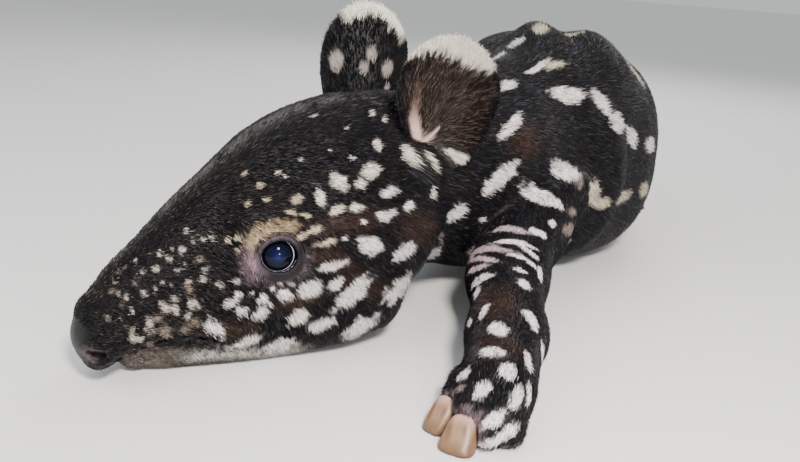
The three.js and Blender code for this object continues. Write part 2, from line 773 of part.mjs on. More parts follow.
buildHead();
buildEars();
buildTrunk();
buildLegs();

// The origin is the middle of the floor that the calf covers
const reach = new THREE.Box3().setFromObject(calf);
const middle = reach.getCenter(new THREE.Vector3());
calf.position.set(-middle.x, -middle.y, -reach.min.z);
const tapir = new THREE.Group();
tapir.add(calf);

export default tapir;
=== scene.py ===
import bpy
import numpy as np
from mathutils import Matrix, Vector
from mathutils.bvhtree import BVHTree


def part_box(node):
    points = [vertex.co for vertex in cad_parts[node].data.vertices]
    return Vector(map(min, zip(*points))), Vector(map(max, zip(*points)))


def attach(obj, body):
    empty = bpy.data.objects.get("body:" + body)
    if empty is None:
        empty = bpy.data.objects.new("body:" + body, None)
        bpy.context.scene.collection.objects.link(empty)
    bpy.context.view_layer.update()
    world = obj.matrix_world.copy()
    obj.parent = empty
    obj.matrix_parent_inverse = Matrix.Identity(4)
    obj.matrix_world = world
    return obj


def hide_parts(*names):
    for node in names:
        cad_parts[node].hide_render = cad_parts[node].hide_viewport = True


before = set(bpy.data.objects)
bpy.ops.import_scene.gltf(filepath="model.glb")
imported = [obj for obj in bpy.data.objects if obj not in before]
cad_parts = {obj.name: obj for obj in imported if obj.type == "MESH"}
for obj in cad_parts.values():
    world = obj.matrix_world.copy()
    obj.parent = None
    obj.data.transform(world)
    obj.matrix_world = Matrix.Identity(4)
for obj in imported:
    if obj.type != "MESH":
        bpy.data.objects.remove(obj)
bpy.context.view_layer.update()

# Driving dimensions, in mm, as in the part's source
CHIN_BEHIND_NOSE = 38
HEAD_TURN = np.radians(40)
CHIN_AT = np.array([-139.0, 375.0])
EYE_RADIUS = 12
EYE_SIDE = 34
EYE_BEHIND_NOSE = 102
EYE_HEIGHT = 69
EAR_THICKNESS = 4.4
TRUNK_MIDDLE = 128
TRUNK_HALF_WIDTH = 107
TRUNK_HEIGHT = 182
NOSTRIL_AT = (8, 13.5, 21)

# Depth of the lying coat, in mm, which the skin keeps below the solids' surface
COAT_ON_BODY = 2.6
COAT_ON_FACE = 0.9

FLOOR_CLEARANCE = 0.2

# Edge of the cells that the skin is drawn in, in mm
CELL_EYES = 1.5
CELL_HEAD = 2.2
CELL_HIGH = 2.8
CELL_BODY = 4.0

# Distances, in mm, that stand for none near
NO_HOOF_NEAR = 99.0
FAR_OFF = 1e9

SEED = 7
COLOUR_LAYER = "Coat colour"


# Plain arithmetic

def clamp(value, low=0.0, high=1.0):
    return np.minimum(np.maximum(value, low), high)


def smooth(value, start, end):
    """0 before start, 1 after end, and a soft step between."""
    t = clamp((value - start) / (end - start))
    return t * t * (3 - 2 * t)


def bump(value, middle, width):
    """1 at the middle, falling off on both sides over about the width."""
    return np.exp(-((value - middle) / width) ** 2)


def blend(a, b, width):
    """The lesser of two distances, rounded where they are close."""
    h = np.maximum(width - np.abs(a - b), 0) / width
    return np.minimum(a, b) - h * h * width * 0.25


def carve(a, b, width):
    """The greater of two distances, rounded where they are close."""
    return -blend(-a, -b, width)


def unit(vectors):
    return vectors / np.maximum(np.linalg.norm(vectors, axis=-1, keepdims=True), 1e-9)


def waves(points, length, seed):
    """Soft random values between about -1 and 1 that change over a length in mm."""
    draw = np.random.default_rng(seed)
    total = np.zeros(len(points))
    for _ in range(6):
        way = unit(draw.normal(size=3)) * 2 * np.pi / (length * draw.uniform(0.7, 1.5))
        total += np.sin(points @ way + draw.uniform(0, 2 * np.pi))
    return total / 2.6


# Distance forms: below zero inside. P holds one point per row.

def ellipsoid(P, centre, radii):
    q = (P - np.asarray(centre, float)) / np.asarray(radii, float)
    k = np.linalg.norm(q, axis=1)
    g = np.linalg.norm(q / np.asarray(radii, float), axis=1)
    return k * (k - 1) / np.maximum(g, 1e-6)


def rod(P, a, b):
    """Distance to a tapering rod between two places with their radii, and the rod's own vector."""
    start, end = np.array(a[:3], float), np.array(b[:3], float)
    reach = end - start
    t = clamp((P - start) @ reach / (reach @ reach))
    away = np.linalg.norm(P - start - t[:, None] * reach, axis=1) - (a[3] + (b[3] - a[3]) * t)
    return away, reach


def limb(P, points, width):
    """A chain of rods, rounded over the width where they meet."""
    distance = None
    for a, b in zip(points[:-1], points[1:]):
        part, _ = rod(P, a, b)
        distance = part if distance is None else blend(distance, part, width)
    return distance


def along(stations, column, at):
    """Values of one column of a row of stations, on a smooth curve through them."""
    place = stations[:, 0]
    value = stations[:, column]
    last = len(place) - 1
    i = np.clip(np.searchsorted(place, at, side="left") - 1, 0, last - 1)
    before = np.maximum(i - 1, 0)
    after = np.minimum(i + 2, last)
    span = place[i + 1] - place[i]
    slope_a = (value[i + 1] - value[before]) / (place[i + 1] - place[before])
    slope_b = (value[after] - value[i]) / (place[after] - place[i])
    t = clamp((at - place[i]) / span)
    return ((2 * t**3 - 3 * t**2 + 1) * value[i] + (t**3 - 2 * t**2 + t) * span * slope_a
            + (3 * t**2 - 2 * t**3) * value[i + 1] + (t**3 - t**2) * span * slope_b)


def loft(at, side, z, stations, cap_start, cap_end):
    """A long body whose columns are place, top, low, half width, taper, middle, squareness."""
    start, end = stations[0, 0], stations[-1, 0]
    here = clamp(at, start, end)
    top, low, half, taper, middle, square = (along(stations, n, here) for n in range(1, 7))
    height = (top - low) / 2
    up = (z - (top + low) / 2) / height
    wide = half * (1 - taper * clamp(up, -1, 1))
    across = np.abs(side - middle) / wide
    ring = (across**square + np.abs(up)**square) ** (1 / square)
    past = np.where(at < start, (start - at) / cap_start, np.maximum(at - end, 0) / cap_end)
    return (np.hypot(ring, past) - 1) * np.minimum(half, height)


# Head, in its own frame: distance behind the nose tip, side to the calf's left, height

FORWARD = np.array([-np.cos(HEAD_TURN), -np.sin(HEAD_TURN)])
LEFTWARD = np.array([np.sin(HEAD_TURN), -np.cos(HEAD_TURN)])


def to_head(P):
    away = P[:, :2] - CHIN_AT
    return np.column_stack([CHIN_BEHIND_NOSE - away @ FORWARD, away @ LEFTWARD, P[:, 2]])


def from_head(behind, side, z):
    ahead = CHIN_BEHIND_NOSE - behind
    flat = CHIN_AT + ahead * FORWARD + side * LEFTWARD
    return np.array([flat[0], flat[1], z])


# Stations of the head's two long bodies, with the columns that loft names
SKULL = np.array([
    [10, 50, 8, 17, 0.1, 0, 2.2],
    [22, 64, 11, 20, 0.12, 0, 2.2],
    [36, 76, 12, 24, 0.16, 0, 2.2],
    [56, 95, 6, 30, 0.24, 0, 2.3],
    [78, 113, 0, 35, 0.28, 0, 2.4],
    [104, 133, -2, 43, 0.28, 0, 2.5],
    [132, 146, -2, 50, 0.3, 0, 2.5],
    [162, 153, 4, 55, 0.32, 0, 2.4],
    [196, 152, 22, 53, 0.26, 0, 2.2],
])

LOWER_JAW = np.array([
    [34, 23, 0, 12, -0.05, 0, 2.3],
    [46, 27, -2, 18, -0.05, 0, 2.6],
    [79, 34, -3, 30, -0.05, 0, 2.8],
    [106, 44, -3, 40, 0.02, 0, 2.8],
    [137, 60, -2, 51, 0.08, 0, 2.7],
    [168, 76, 2, 59, 0.1, 0, 2.5],
])

# Middle and radii of the nose, and of the cheek and the brow, which are on both sides
NOSE = ([12, 0, 24], [12.5, 18, 16])
CHEEK = ([150, 36, 54], [44, 20, 40])
BROW = ([106, 29, 88], [26, 14, 13])

# Where the mouth's line runs: distance behind the nose tip and height
MOUTH_LINE = np.array([[16, 14], [24, 17], [36, 23], [52, 26], [64, 23], [76, 17]], float)


def head_form(P):
    H = to_head(P)
    twin = H * [1, 0, 1] + np.abs(H) * [0, 1, 0]
    d = loft(*H.T, SKULL, 8, 30)
    d = blend(d, loft(*H.T, LOWER_JAW, 13, 30), 6)
    d = blend(d, ellipsoid(H, *NOSE), 6)
    d = blend(d, ellipsoid(twin, *CHEEK), 14)
    return blend(d, ellipsoid(twin, *BROW), 12)


# Trunk and legs. A limb's rows are places along its middle and the radius there.

NECK = [[-12, 493, 92, 55], [46, 550, 104, 61], [106, 620, 104, 68]]
THROAT = [[-10, 500, 70, 44], [50, 560, 66, 52], [110, 625, 80, 62]]
NECK_ALONG = (0.68, 0.73)     # across and back, the way the neck runs

TRUNK = np.array([
    [585, 168, 8, 68, 0.12, 108, 2.2],
    [625, 175, -2, 90, 0.09, 119, 2.5],
    [670, 179, -3, 103, 0.06, 125, 2.6],
    [730, TRUNK_HEIGHT, -3, TRUNK_HALF_WIDTH, 0.05, TRUNK_MIDDLE, 2.6],
    [800, TRUNK_HEIGHT, -3, 104, 0.08, TRUNK_MIDDLE, 2.4],
    [860, 174, -2, 94, 0.1, TRUNK_MIDDLE, 2.3],
    [900, 156, 2, 80, 0.08, TRUNK_MIDDLE, 2.2],
])

# Middle and radii of each
SHOULDER_BLADES = [([143, 648, 114], [40, 64, 78]), ([98, 636, 117], [36, 62, 80])]

TAIL = [[TRUNK_MIDDLE, 915, 128, 16], [TRUNK_MIDDLE, 944, 116, 12], [TRUNK_MIDDLE, 956, 92, 7]]

FORELEG_LEFT = [
    [128, 602, 93, 40],
    [90, 519, 56, 32],
    [74, 462, 38, 26],
    [68, 398, 27, 22.5],
    [58, 346, 23, 21.5],
]
FORELEG_RIGHT = [
    [78, 650, 76, 40],
    [22, 650, 38, 34],
    [-20, 626, 29, 27],
    [-56, 600, 24, 22],
    [-84, 578, 20, 21],
]


def hind_leg(side):
    """Haunch, shank and foot of a folded hind leg, at a side of the trunk's middle."""
    def x(out):
        return TRUNK_MIDDLE + side * out
    return {
        "haunch": ([x(64), 846, 74], [48, 84, 74]),
        "shank": [[x(76), 792, 36, 28], [x(86), 850, 29, 27], [x(92), 904, 24, 21]],
        "foot": [[x(100), 902, 21, 20], [x(112), 856, 17, 16], [x(117), 824, 15, 15]],
    }


HIND_LEGS = {"left": hind_leg(1), "right": hind_leg(-1)}

# Hooves: length, half width and height
BIG = (26, 11, 19)
MIDDLE = (24, 10, 18)
FRONT = (21, 11, 17)
SIDE = (20, 10, 18)
LOW = (18, 9, 10)
SMALL = (16, 7, 12)

# What shows of the low hoof from under the fur: its size, its shift forward and its middle's height
SHOWN_LOW = (8, 4.5, 5)
SHOWN_LOW_SHIFT = (2, -1)
SHOWN_LOW_HEIGHT = 3.5

# Share of its width and height that a hoof loses from its middle to its front
HOOF_TAPER = 0.22
HOOF_SLOPE = 0.3

# Share of the hoof's length that a toe keeps clear of, and of its own length that the low one has
TOE_CLEAR = 0.24
LOW_TOE_REACH = 0.95

# Flesh of the left forefoot between its front hoof and the low one
FOOT_PAD = [[58, 350, 15, 14], [52, 324, 9, 10.5]]


def hind_toes(side):
    def x(out):
        return TRUNK_MIDDLE + side * out
    return [
        ((x(112), 820, 13), (x(107), 800, 8), 9, MIDDLE),
        ((x(118), 817, 13), (x(119), 792, 8), 10, BIG),
        ((x(124), 821, 13), (x(131), 804, 8), 9, MIDDLE),
    ]


# Toes: root in the foot, middle of the hoof, radius and hoof
TOES = {
    "forefoot_left": [
        ((42, 353, 17), (29.5, 337, 9), 9, SIDE),
        ((46, 341, 17), (38.5, 321.5, 8.5), 12, FRONT),
        ((64, 346, 14), (62, 328, 7), 12, LOW),
        ((70, 386, 14), (79, 378, 7), 8, SMALL),
    ],
    "forefoot_right": [
        ((-92, 566, 16), (-98, 548, 9), 10, MIDDLE),
        ((-100, 572, 16), (-116, 556, 9), 11, BIG),
        ((-100, 582, 15), (-120, 577, 8), 10, MIDDLE),
        ((-90, 590, 13), (-105, 598, 7), 8, SMALL),
    ],
    "hindfoot_left": hind_toes(1),
    "hindfoot_right": hind_toes(-1),
}


def trunk_form(P):
    d = loft(P[:, 1], P[:, 0], P[:, 2], TRUNK, 34, 40)
    for centre, radii in SHOULDER_BLADES:
        d = blend(d, ellipsoid(P, centre, radii), 24)
    return d


def shown(toe):
    """The toe as it shows: the low third one's hoof is mostly under the fur."""
    root, tip, radius, size = toe
    if size is not LOW:
        return toe
    place = (tip[0] + SHOWN_LOW_SHIFT[0], tip[1] + SHOWN_LOW_SHIFT[1], SHOWN_LOW_HEIGHT)
    return root, place, radius, SHOWN_LOW


def heading_of(root, tip):
    """The way that a toe points, on the floor."""
    return unit(np.array([tip[0] - root[0], tip[1] - root[1]], float))


def toes_form(P, toes):
    """Toes, each of which ends inside the back of its hoof."""
    d = None
    for root, tip, radius, size in toes:
        root, tip = np.array(root, float), np.array(tip, float)
        length = np.linalg.norm(tip - root)
        reach = clamp(1 - (TOE_CLEAR * size[0] + radius - 1) / length, 0.1)
        if size is LOW:
            reach = LOW_TOE_REACH
        end = root + (tip - root) * reach
        toe, _ = rod(P, [*root, radius + 2], [*end, radius - 0.5])
        d = toe if d is None else np.minimum(d, toe)
    return d


def in_hoof(P, toe):
    """Places in a hoof: ahead, across and up, each 1 at its surface."""
    root, tip, _, (length, half, height) = toe
    heading = heading_of(root, tip)
    away = P - np.asarray(tip, float)
    ahead = away[:, :2] @ heading / (length / 2)
    forward = clamp(ahead, -1, 1)
    across = away[:, 1] * heading[0] - away[:, 0] * heading[1]
    across = across / (half * (1 - HOOF_TAPER * forward))
    up = away[:, 2] / (height / 2 * (1 - HOOF_SLOPE * forward))
    return ahead, across, up


def horn_form(P):
    """Distance to the part of the nearest hoof that shows ahead of the skin."""
    d = np.full(len(P), NO_HOOF_NEAR)
    for toes in TOES.values():
        for toe in map(shown, toes):
            ahead, across, up = in_hoof(P, toe)
            length, half, height = toe[3]
            shell = (np.sqrt(ahead**2 + across**2 + up**2) - 1) * min(half, height / 2)
            d = np.minimum(d, np.maximum(shell, -(ahead + 0.4) * length / 2))
    return d


def legs_form(P):
    """Each leg with its foot, and the tail."""
    front = np.minimum(toes_form(P, TOES["forefoot_left"]), limb(P, FOOT_PAD, 1))
    legs = [
        blend(limb(P, FORELEG_LEFT, 14), front, 5),
        blend(limb(P, FORELEG_RIGHT, 14), toes_form(P, TOES["forefoot_right"]), 5),
        limb(P, TAIL, 8),
    ]
    for side, leg in HIND_LEGS.items():
        foot = blend(limb(P, leg["foot"], 10), toes_form(P, TOES[f"hindfoot_{side}"]), 5)
        legs.append(blend(limb(P, leg["shank"], 10), foot, 4))
    return np.minimum.reduce(legs)


# Eyes: each with its middle, its line of sight and the lids' opening across and up

EYES = {}
for name, side in (("left", 1), ("right", -1)):
    centre = from_head(EYE_BEHIND_NOSE, side * EYE_SIDE, EYE_HEIGHT)
    sight = unit(from_head(EYE_BEHIND_NOSE - 22, side * 100, EYE_HEIGHT + 8) - centre)
    across = unit(np.cross(sight, [0, 0, 1.0])) * side
    EYES[name] = {"centre": centre, "sight": sight, "across": across, "up": np.cross(across, sight) * side}

LID_HALF_WIDTH = 9.9
LID_HALF_HEIGHT = 8.9
LID_THICKNESS = 2.1
LID_EFFECT = 44          # from the eye's middle to where the lids change the skin no more
EYE_GAP = 0.15           # between the ball and the lids


def around_eye(P, eye):
    """Distance before the eye's middle along its sight, and places across and up."""
    away = P - eye["centre"]
    return away @ eye["sight"], away @ eye["across"], away @ eye["up"]


# Flesh: the whole body's form, and what the skin adds to it

def neck_form(P):
    return blend(limb(P, NECK, 20), limb(P, THROAT, 20), 16)


def core_form(P):
    d = blend(head_form(P), limb(P, NECK, 20), 16)
    d = blend(d, limb(P, THROAT, 20), 16)
    d = blend(d, trunk_form(P), 18)
    for leg in HIND_LEGS.values():
        d = blend(d, ellipsoid(P, *leg["haunch"]), 16)
    return blend(d, legs_form(P), 7)


def coat_depth(P):
    """Depth of the coat: least on the face and feet."""
    H = to_head(P)
    face = 1 - smooth(H[:, 0], 70, 190)
    foot = 1 - smooth(P[:, 2], 12, 60)
    return COAT_ON_BODY + (COAT_ON_FACE - COAT_ON_BODY) * np.maximum(face, 0.8 * foot)


def lids(P, d):
    """Lids that hug each eyeball, their opening, and the creases round them."""
    for eye in EYES.values():
        ahead, across, up = around_eye(P, eye)
        away = np.linalg.norm(P - eye["centre"], axis=1)
        near = away < LID_EFFECT
        if not near.any():
            continue
        ahead, across, up, away = ahead[near], across[near], up[near], away[near]
        part = blend(d[near], away - EYE_RADIUS - LID_THICKNESS, 7)
        round_eye = np.hypot(across / LID_HALF_WIDTH, up / LID_HALF_HEIGHT)
        rho = np.hypot(across, up)
        turn = np.arctan2(up, across)
        # Creases: depth, distance from the line of sight, width, share round it, and how far behind
        for deep, middle, width, share, behind in (
            (0.9, 12.9, 1.1, 0.35 + 0.65 * smooth(up, -4, 6), 0),
            (0.5, 18.5, 1.7, 0.6 + 0.4 * np.sin(3 * turn), -6),
            (0.35, 23.5, 2.0, 0.5 + 0.5 * np.cos(2 * turn + 1), -8),
        ):
            part += deep * bump(rho, middle, width) * share * (ahead > behind)
        opening = np.where(ahead > 0, (round_eye - 1) * LID_HALF_HEIGHT, 20)
        part = carve(part, -opening, 1.6)
        part = carve(part, EYE_RADIUS + EYE_GAP - away, 0.5)
        d[near] = part
    return d


NOSTRIL_RADII = (5.8, 4.2, 3.4)
NOSTRIL_WAY = (0.79, 0.61)     # behind and outward, the way its length lies

# Mouth and lips: distance over the mouth's line, width and depth
MOUTH_SHAPE = [(0, 1.5, 2.8), (3.6, 2.2, -0.9), (-3.4, 2.0, -0.7)]

WRINKLE_LENGTH = 6.2
WRINKLE_DEPTH = 0.22


def muzzle(P, d):
    """Nostrils, the line of the mouth with its lips, and wrinkles across the snout."""
    H = to_head(P)
    near = (H[:, 0] < 100) & (np.abs(H[:, 1]) < 60) & (H[:, 2] < 110)
    if not near.any():
        return d
    behind, side, z = H[near, 0], np.abs(H[near, 1]), H[near, 2]
    part = d[near]
    cos, sin = NOSTRIL_WAY
    turned = np.column_stack([
        (behind - NOSTRIL_AT[0]) * cos + (side - NOSTRIL_AT[1]) * sin,
        (side - NOSTRIL_AT[1]) * cos - (behind - NOSTRIL_AT[0]) * sin,
        z - NOSTRIL_AT[2],
    ])
    part = part - 0.9 * bump(np.linalg.norm(turned, axis=1), 8, 2.5)
    part = carve(part, -ellipsoid(turned, [0, 0, 0], NOSTRIL_RADII), 1.6)
    line = np.interp(behind, MOUTH_LINE[:, 0], MOUTH_LINE[:, 1])
    along_mouth = smooth(behind, 14, 22) * (1 - smooth(behind, 74, 82)) * (side > 4)
    for over, width, deep in MOUTH_SHAPE:
        part += deep * bump(z - line, over, width) * along_mouth
    wrinkle = np.sin(2 * np.pi * behind / WRINKLE_LENGTH + 1.6 * waves(P[near], 26, 3))
    part += WRINKLE_DEPTH * wrinkle * (1 - smooth(behind, 30, 58)) * smooth(z, 24, 40)
    d[near] = part
    return d


# Folds: their depth and the length from one to the next
NECK_FOLDS = (0.45, 27)
FLANK_FOLDS = (0.3, 34)


def folds(P, d):
    """Soft folds of skin on the throat, the neck and behind the shoulder."""
    neck = bump(P[:, 1], 520, 60) * smooth(P[:, 2], 60, 120)
    way = unit(np.array([0.6, 0.78, 0.1]))
    deep, length = NECK_FOLDS
    d = d + deep * neck * np.sin(P @ way * 2 * np.pi / length + 1.4 * waves(P, 70, 11))
    flank = bump(P[:, 1], 700, 45) * smooth(P[:, 2], 20, 60)
    way = unit(np.array([0, 1, 0.25]))
    deep, length = FLANK_FOLDS
    return d + deep * flank * np.sin(P @ way * 2 * np.pi / length + waves(P, 60, 12))


HOOVES_BELOW = 32     # height that no hoof reaches
HORN_GAP = 0.5        # between skin and hoof


def skin_form(P):
    """Distance to the living skin below the coat, with the hooves' places left open."""
    d = core_form(P) + coat_depth(P)
    d = folds(P, d)
    d = muzzle(P, d)
    d = lids(P, d)
    low = P[:, 2] < HOOVES_BELOW
    if low.any():
        d[low] = carve(d[low], -horn_form(P[low]) - HORN_GAP, 1)
    return np.maximum(d, FLOOR_CLEARANCE - P[:, 2])


# Skin: the surface of its distance form as a mesh of four-sided patches

def graded(low, high, spans):
    """Places from low to high, with a finer step inside each (from, to, step) span."""
    places = [low]
    while places[-1] < high:
        here = places[-1]
        step = min([CELL_BODY] + [s for a, b, s in spans if a - s <= here < b])
        places.append(here + step)
    return np.array(places)


BLOCK = 12                        # cells along each edge of a block
FAR_REACHES, FAR_MARGIN = 1.5, 8  # a far block's distance: its size times this, and mm more


def sample(form, axes):
    """Values on a grid. A block far from the surface keeps its middle's value."""
    shape = [len(a) for a in axes]
    value = np.empty(shape, np.float32)
    starts = np.meshgrid(*[np.arange(0, n, BLOCK) for n in shape], indexing="ij")
    starts = np.array(starts).reshape(3, -1).T
    ends = np.minimum(starts + BLOCK, shape)
    low = np.column_stack([axes[n][starts[:, n]] for n in range(3)])
    high = np.column_stack([axes[n][ends[:, n] - 1] for n in range(3)])
    middle = form((low + high) / 2)
    reach = np.linalg.norm(high - low, axis=1)
    for a, b, m, r in zip(starts, ends, middle, reach):
        block = tuple(slice(i, j) for i, j in zip(a, b))
        if abs(m) > FAR_REACHES * r + FAR_MARGIN:
            value[block] = m
            continue
        grid = np.meshgrid(*[axes[n][a[n]:b[n]] for n in range(3)], indexing="ij")
        P = np.column_stack([g.ravel() for g in grid])
        value[block] = form(P).reshape(grid[0].shape)
    return value


SLOPE_STEP = 0.15


def steepness(form, P):
    """How fast the form's value grows along each axis."""
    slope = np.empty_like(P)
    for n in range(3):
        shift = np.zeros(3)
        shift[n] = SLOPE_STEP
        slope[:, n] = (form(P + shift) - form(P - shift)) / (2 * SLOPE_STEP)
    return slope


FITTING_ROUNDS = 3
FITTING_LIMIT = 0.35     # share of a cell's edge that its point may move


def surface(form, axes):
    """The form's surface: one point in each cell that it crosses, and four-sided faces."""
    value = sample(form, axes)
    inside = value < 0
    corners = [(i, j, k) for i in (0, 1) for j in (0, 1) for k in (0, 1)]
    shape = inside.shape

    def shifted(array, c):
        return array[tuple(slice(c[n], shape[n] - 1 + c[n]) for n in range(3))]

    count = sum(shifted(inside, c).astype(np.int8) for c in corners)
    active = (count > 0) & (count < 8)
    cells = np.argwhere(active)
    number = np.full(active.shape, -1, np.int64)
    number[active] = np.arange(len(cells))
    # A cell's point starts at the mean of the places where its edges cross the surface
    at = {c: value[tuple((cells + c).T)] for c in corners}
    total = np.zeros((len(cells), 3))
    hits = np.zeros(len(cells))
    for a in corners:
        for n in range(3):
            if a[n]:
                continue
            b = tuple(1 if m == n else a[m] for m in range(3))
            crossing = (at[a] < 0) != (at[b] < 0)
            t = at[a][crossing] / (at[a][crossing] - at[b][crossing])
            point = np.tile(np.array(a, float), (len(t), 1))
            point[:, n] = t
            total[crossing] += point
            hits[crossing] += 1
    inner = total / hits[:, None]
    low = np.column_stack([axes[n][cells[:, n]] for n in range(3)])
    high = np.column_stack([axes[n][cells[:, n] + 1] for n in range(3)])
    start = low + inner * (high - low)
    P = start.copy()
    limit = FITTING_LIMIT * np.min(high - low, axis=1)
    for _ in range(FITTING_ROUNDS):
        slope = steepness(form, P)
        move = form(P) / np.maximum((slope**2).sum(1), 0.1)
        P -= slope * move[:, None]
        away = P - start
        length = np.linalg.norm(away, axis=1)
        P = start + away * np.minimum(1, limit / np.maximum(length, 1e-9))[:, None]
    # Each grid edge that crosses the surface has a face between the four cells around it
    faces = []
    for n in range(3):
        u, v = (n + 1) % 3, (n + 2) % 3
        change = inside != np.roll(inside, -1, axis=n)
        edge = [slice(None)] * 3
        edge[n] = -1
        change[tuple(edge)] = False
        found = np.argwhere(change)
        found = found[(found[:, u] > 0) & (found[:, v] > 0)]
        quads = []
        for du, dv in ((1, 1), (0, 1), (0, 0), (1, 0)):
            cell = found.copy()
            cell[:, u] -= du
            cell[:, v] -= dv
            quads.append(number[tuple(cell.T)])
        quads = np.column_stack(quads)
        outward = inside[tuple(found.T)]
        quads[~outward] = quads[~outward][:, ::-1]
        faces.append(quads)
    return P, np.concatenate(faces)


# The part's source is placed in the frame by the left eye's middle
low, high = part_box("eye_left")
SHIFT = np.array((low + high) / 2) * 1000 - EYES["left"]["centre"]
SHIFT[2] = 0


def placed(points):
    """Points of the source, in mm, as places in the frame, in metres."""
    return (points + SHIFT) / 1000


def make_mesh(name, points, faces, material, nodes=(), smooth_faces=True):
    """A piece from points in mm and faces of one kind, set in the frame and riding on the root."""
    faces = np.asarray(faces)
    sides = faces.shape[1]
    mesh = bpy.data.meshes.new(name)
    mesh.vertices.add(len(points))
    mesh.vertices.foreach_set("co", placed(points).astype(np.float32).ravel())
    mesh.loops.add(faces.size)
    mesh.loops.foreach_set("vertex_index", faces.astype(np.int32).ravel())
    mesh.polygons.add(len(faces))
    mesh.polygons.foreach_set("loop_start", np.arange(0, faces.size, sides, dtype=np.int32))
    mesh.update(calc_edges=True)
    mesh.polygons.foreach_set("use_smooth", np.full(len(faces), smooth_faces))
    mesh.materials.append(material)
    piece = bpy.data.objects.new(name, mesh)
    bpy.context.scene.collection.objects.link(piece)
    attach(piece, "root")
    if nodes:
        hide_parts(*nodes)
    return piece


def set_colours(mesh, colours):
    """Colours, one for each point, kept as an attribute of the mesh."""
    layer = mesh.color_attributes.new(COLOUR_LAYER, "FLOAT_COLOR", "POINT")
    rgba = np.ones((len(colours), 4), np.float32)
    rgba[:, :3] = colours
    layer.data.foreach_set("color", rgba.ravel())


# Camera: the photograph's place, pitch, roll and lens

IMAGE_WIDTH = 800
IMAGE_HEIGHT = 462
FOCAL_PIXELS = 744
CAMERA_HEIGHT = 220
PITCH = np.radians(18.7)
ROLL = np.radians(4.82)

LOOK = np.array([0, np.cos(PITCH), -np.sin(PITCH)])
LEVEL_UP = np.array([0, np.sin(PITCH), np.cos(PITCH)])
RIGHT = np.array([1.0, 0, 0]) * np.cos(ROLL) + LEVEL_UP * np.sin(ROLL)
UP = LEVEL_UP * np.cos(ROLL) - np.array([1.0, 0, 0]) * np.sin(ROLL)
CAMERA_AT = np.array([0, 0, CAMERA_HEIGHT])


def pixel_ray(x, y):
    """Direction from the camera through a pixel of the photograph."""
    u = (x - IMAGE_WIDTH / 2) / FOCAL_PIXELS
    v = (y - IMAGE_HEIGHT / 2) / FOCAL_PIXELS
    return LOOK + u * RIGHT - v * UP


def make_camera():
    data = bpy.data.cameras.new("camera")
    data.sensor_width = 36
    data.lens = FOCAL_PIXELS / IMAGE_WIDTH * data.sensor_width
    data.clip_start = 0.01
    camera = bpy.data.objects.new("camera", data)
    bpy.context.scene.collection.objects.link(camera)
    turn = Matrix([[*row] for row in np.column_stack([RIGHT, UP, -LOOK])]).to_4x4()
    camera.matrix_world = Matrix.Translation(Vector(placed(CAMERA_AT))) @ turn
    bpy.context.scene.camera = camera


# Colours and materials

def linear(hex_colour):
    """An sRGB hex colour as linear red, green and blue."""
    value = np.array([int(hex_colour[i:i + 2], 16) for i in (1, 3, 5)]) / 255
    return np.where(value <= 0.04045, value / 12.92, ((value + 0.055) / 1.055) ** 2.4)


def rgba(hex_colour):
    return (*linear(hex_colour), 1.0)


COAT_BLACK = linear("#0c0b0e")
COAT_BROWN = linear("#2e211b")
SPOT_WHITE = linear("#efe9e8")
SPOT_CREAM = linear("#d6c8ac")
LID_LILAC = linear("#4c4149")
EYE_PATCH = linear("#75666d")
EYE_PINK = linear("#a98a92")
BROW_CREAM = linear("#bfa988")
SPOT_SNOUT = linear("#cdc3b8")
SPOT_TAN = linear("#7d7166")
SPOT_DIM = linear("#7d716c")
LIP_BROWN = linear("#49413d")
NOSE_PAINTED_HIGHLIGHT = linear("#5c5153")
NOSE_DARK = linear("#0f100e")
LID_DARK = linear("#141014")
FOOT_PINK = linear("#cfa79a")
SPOT_CREAM_PALE = linear("#ece6d8")
JAW_PALE = linear("#dcd6d0")
BAND_PINK = linear("#c6b0b5")
BODY_CREAM = linear("#cbc3ae")
SPOT_DIM_PALE = linear("#a89f98")
EYE_HAZE_AND_GLOW = linear("#16204e")
EYE_BLUE = linear("#0b1130")
EYE_DARK = linear("#060815")
EYE_RIM = linear("#050609")
TEAR_LINE_HIGHLIGHT = linear("#d6d0da")
LIMBUS_HIGHLIGHT = linear("#c3c6da")
EAR_BROWN = linear("#231b18")
EAR_TAN = linear("#544840")
# Painted glint: a pale tan that stands in for highlights on the ear's inner hair
EAR_PAINTED_GLINT = linear("#75665a")
EAR_PINK = linear("#8a6f66")
EAR_PINK_PALE = linear("#dcbdb4")
HORN_TAN = linear("#8a6a4c")
HORN_PALE = linear("#b0957a")
HORN_BROWN = linear("#6b4c30")
HORN_EDGE = linear("#3a2a1e")
# Painted glints: pale colours that stand in for highlights on the dark hair
PAINTED_GLINT_BODY = linear("#565664")
PAINTED_GLINT_HEAD = linear("#786f64")


def tinted(colours, target, cover):
    """The colours moved towards a target by a share for each, from 0 to 1."""
    return colours + (target - colours) * cover[:, None]


def add_node(tree, kind, settings=None, links=None):
    """Adds a node, sets its properties and sockets, and links its inputs."""
    node = tree.nodes.new(kind)
    for key, value in (settings or {}).items():
        if hasattr(node, key):
            setattr(node, key, value)
        else:
            node.inputs[key].default_value = value
    for key, source in (links or {}).items():
        tree.links.new(source, node.inputs[key])
    return node


def new_material(name, sockets, links=None):
    """A material with one Principled shader. The caller's function makes its other nodes, with
    the place on the piece that patterns are read from."""
    material = bpy.data.materials.new(name)
    material.use_nodes = True
    tree = material.node_tree
    shader = tree.nodes["Principled BSDF"]
    for key, value in sockets.items():
        shader.inputs[key].default_value = value
    if links:
        links(tree, shader, add_node(tree, "ShaderNodeTexCoord").outputs["Object"])
    return material


def mm(size):
    """Scale of a noise whose features are about a size in mm."""
    return 1000 / size


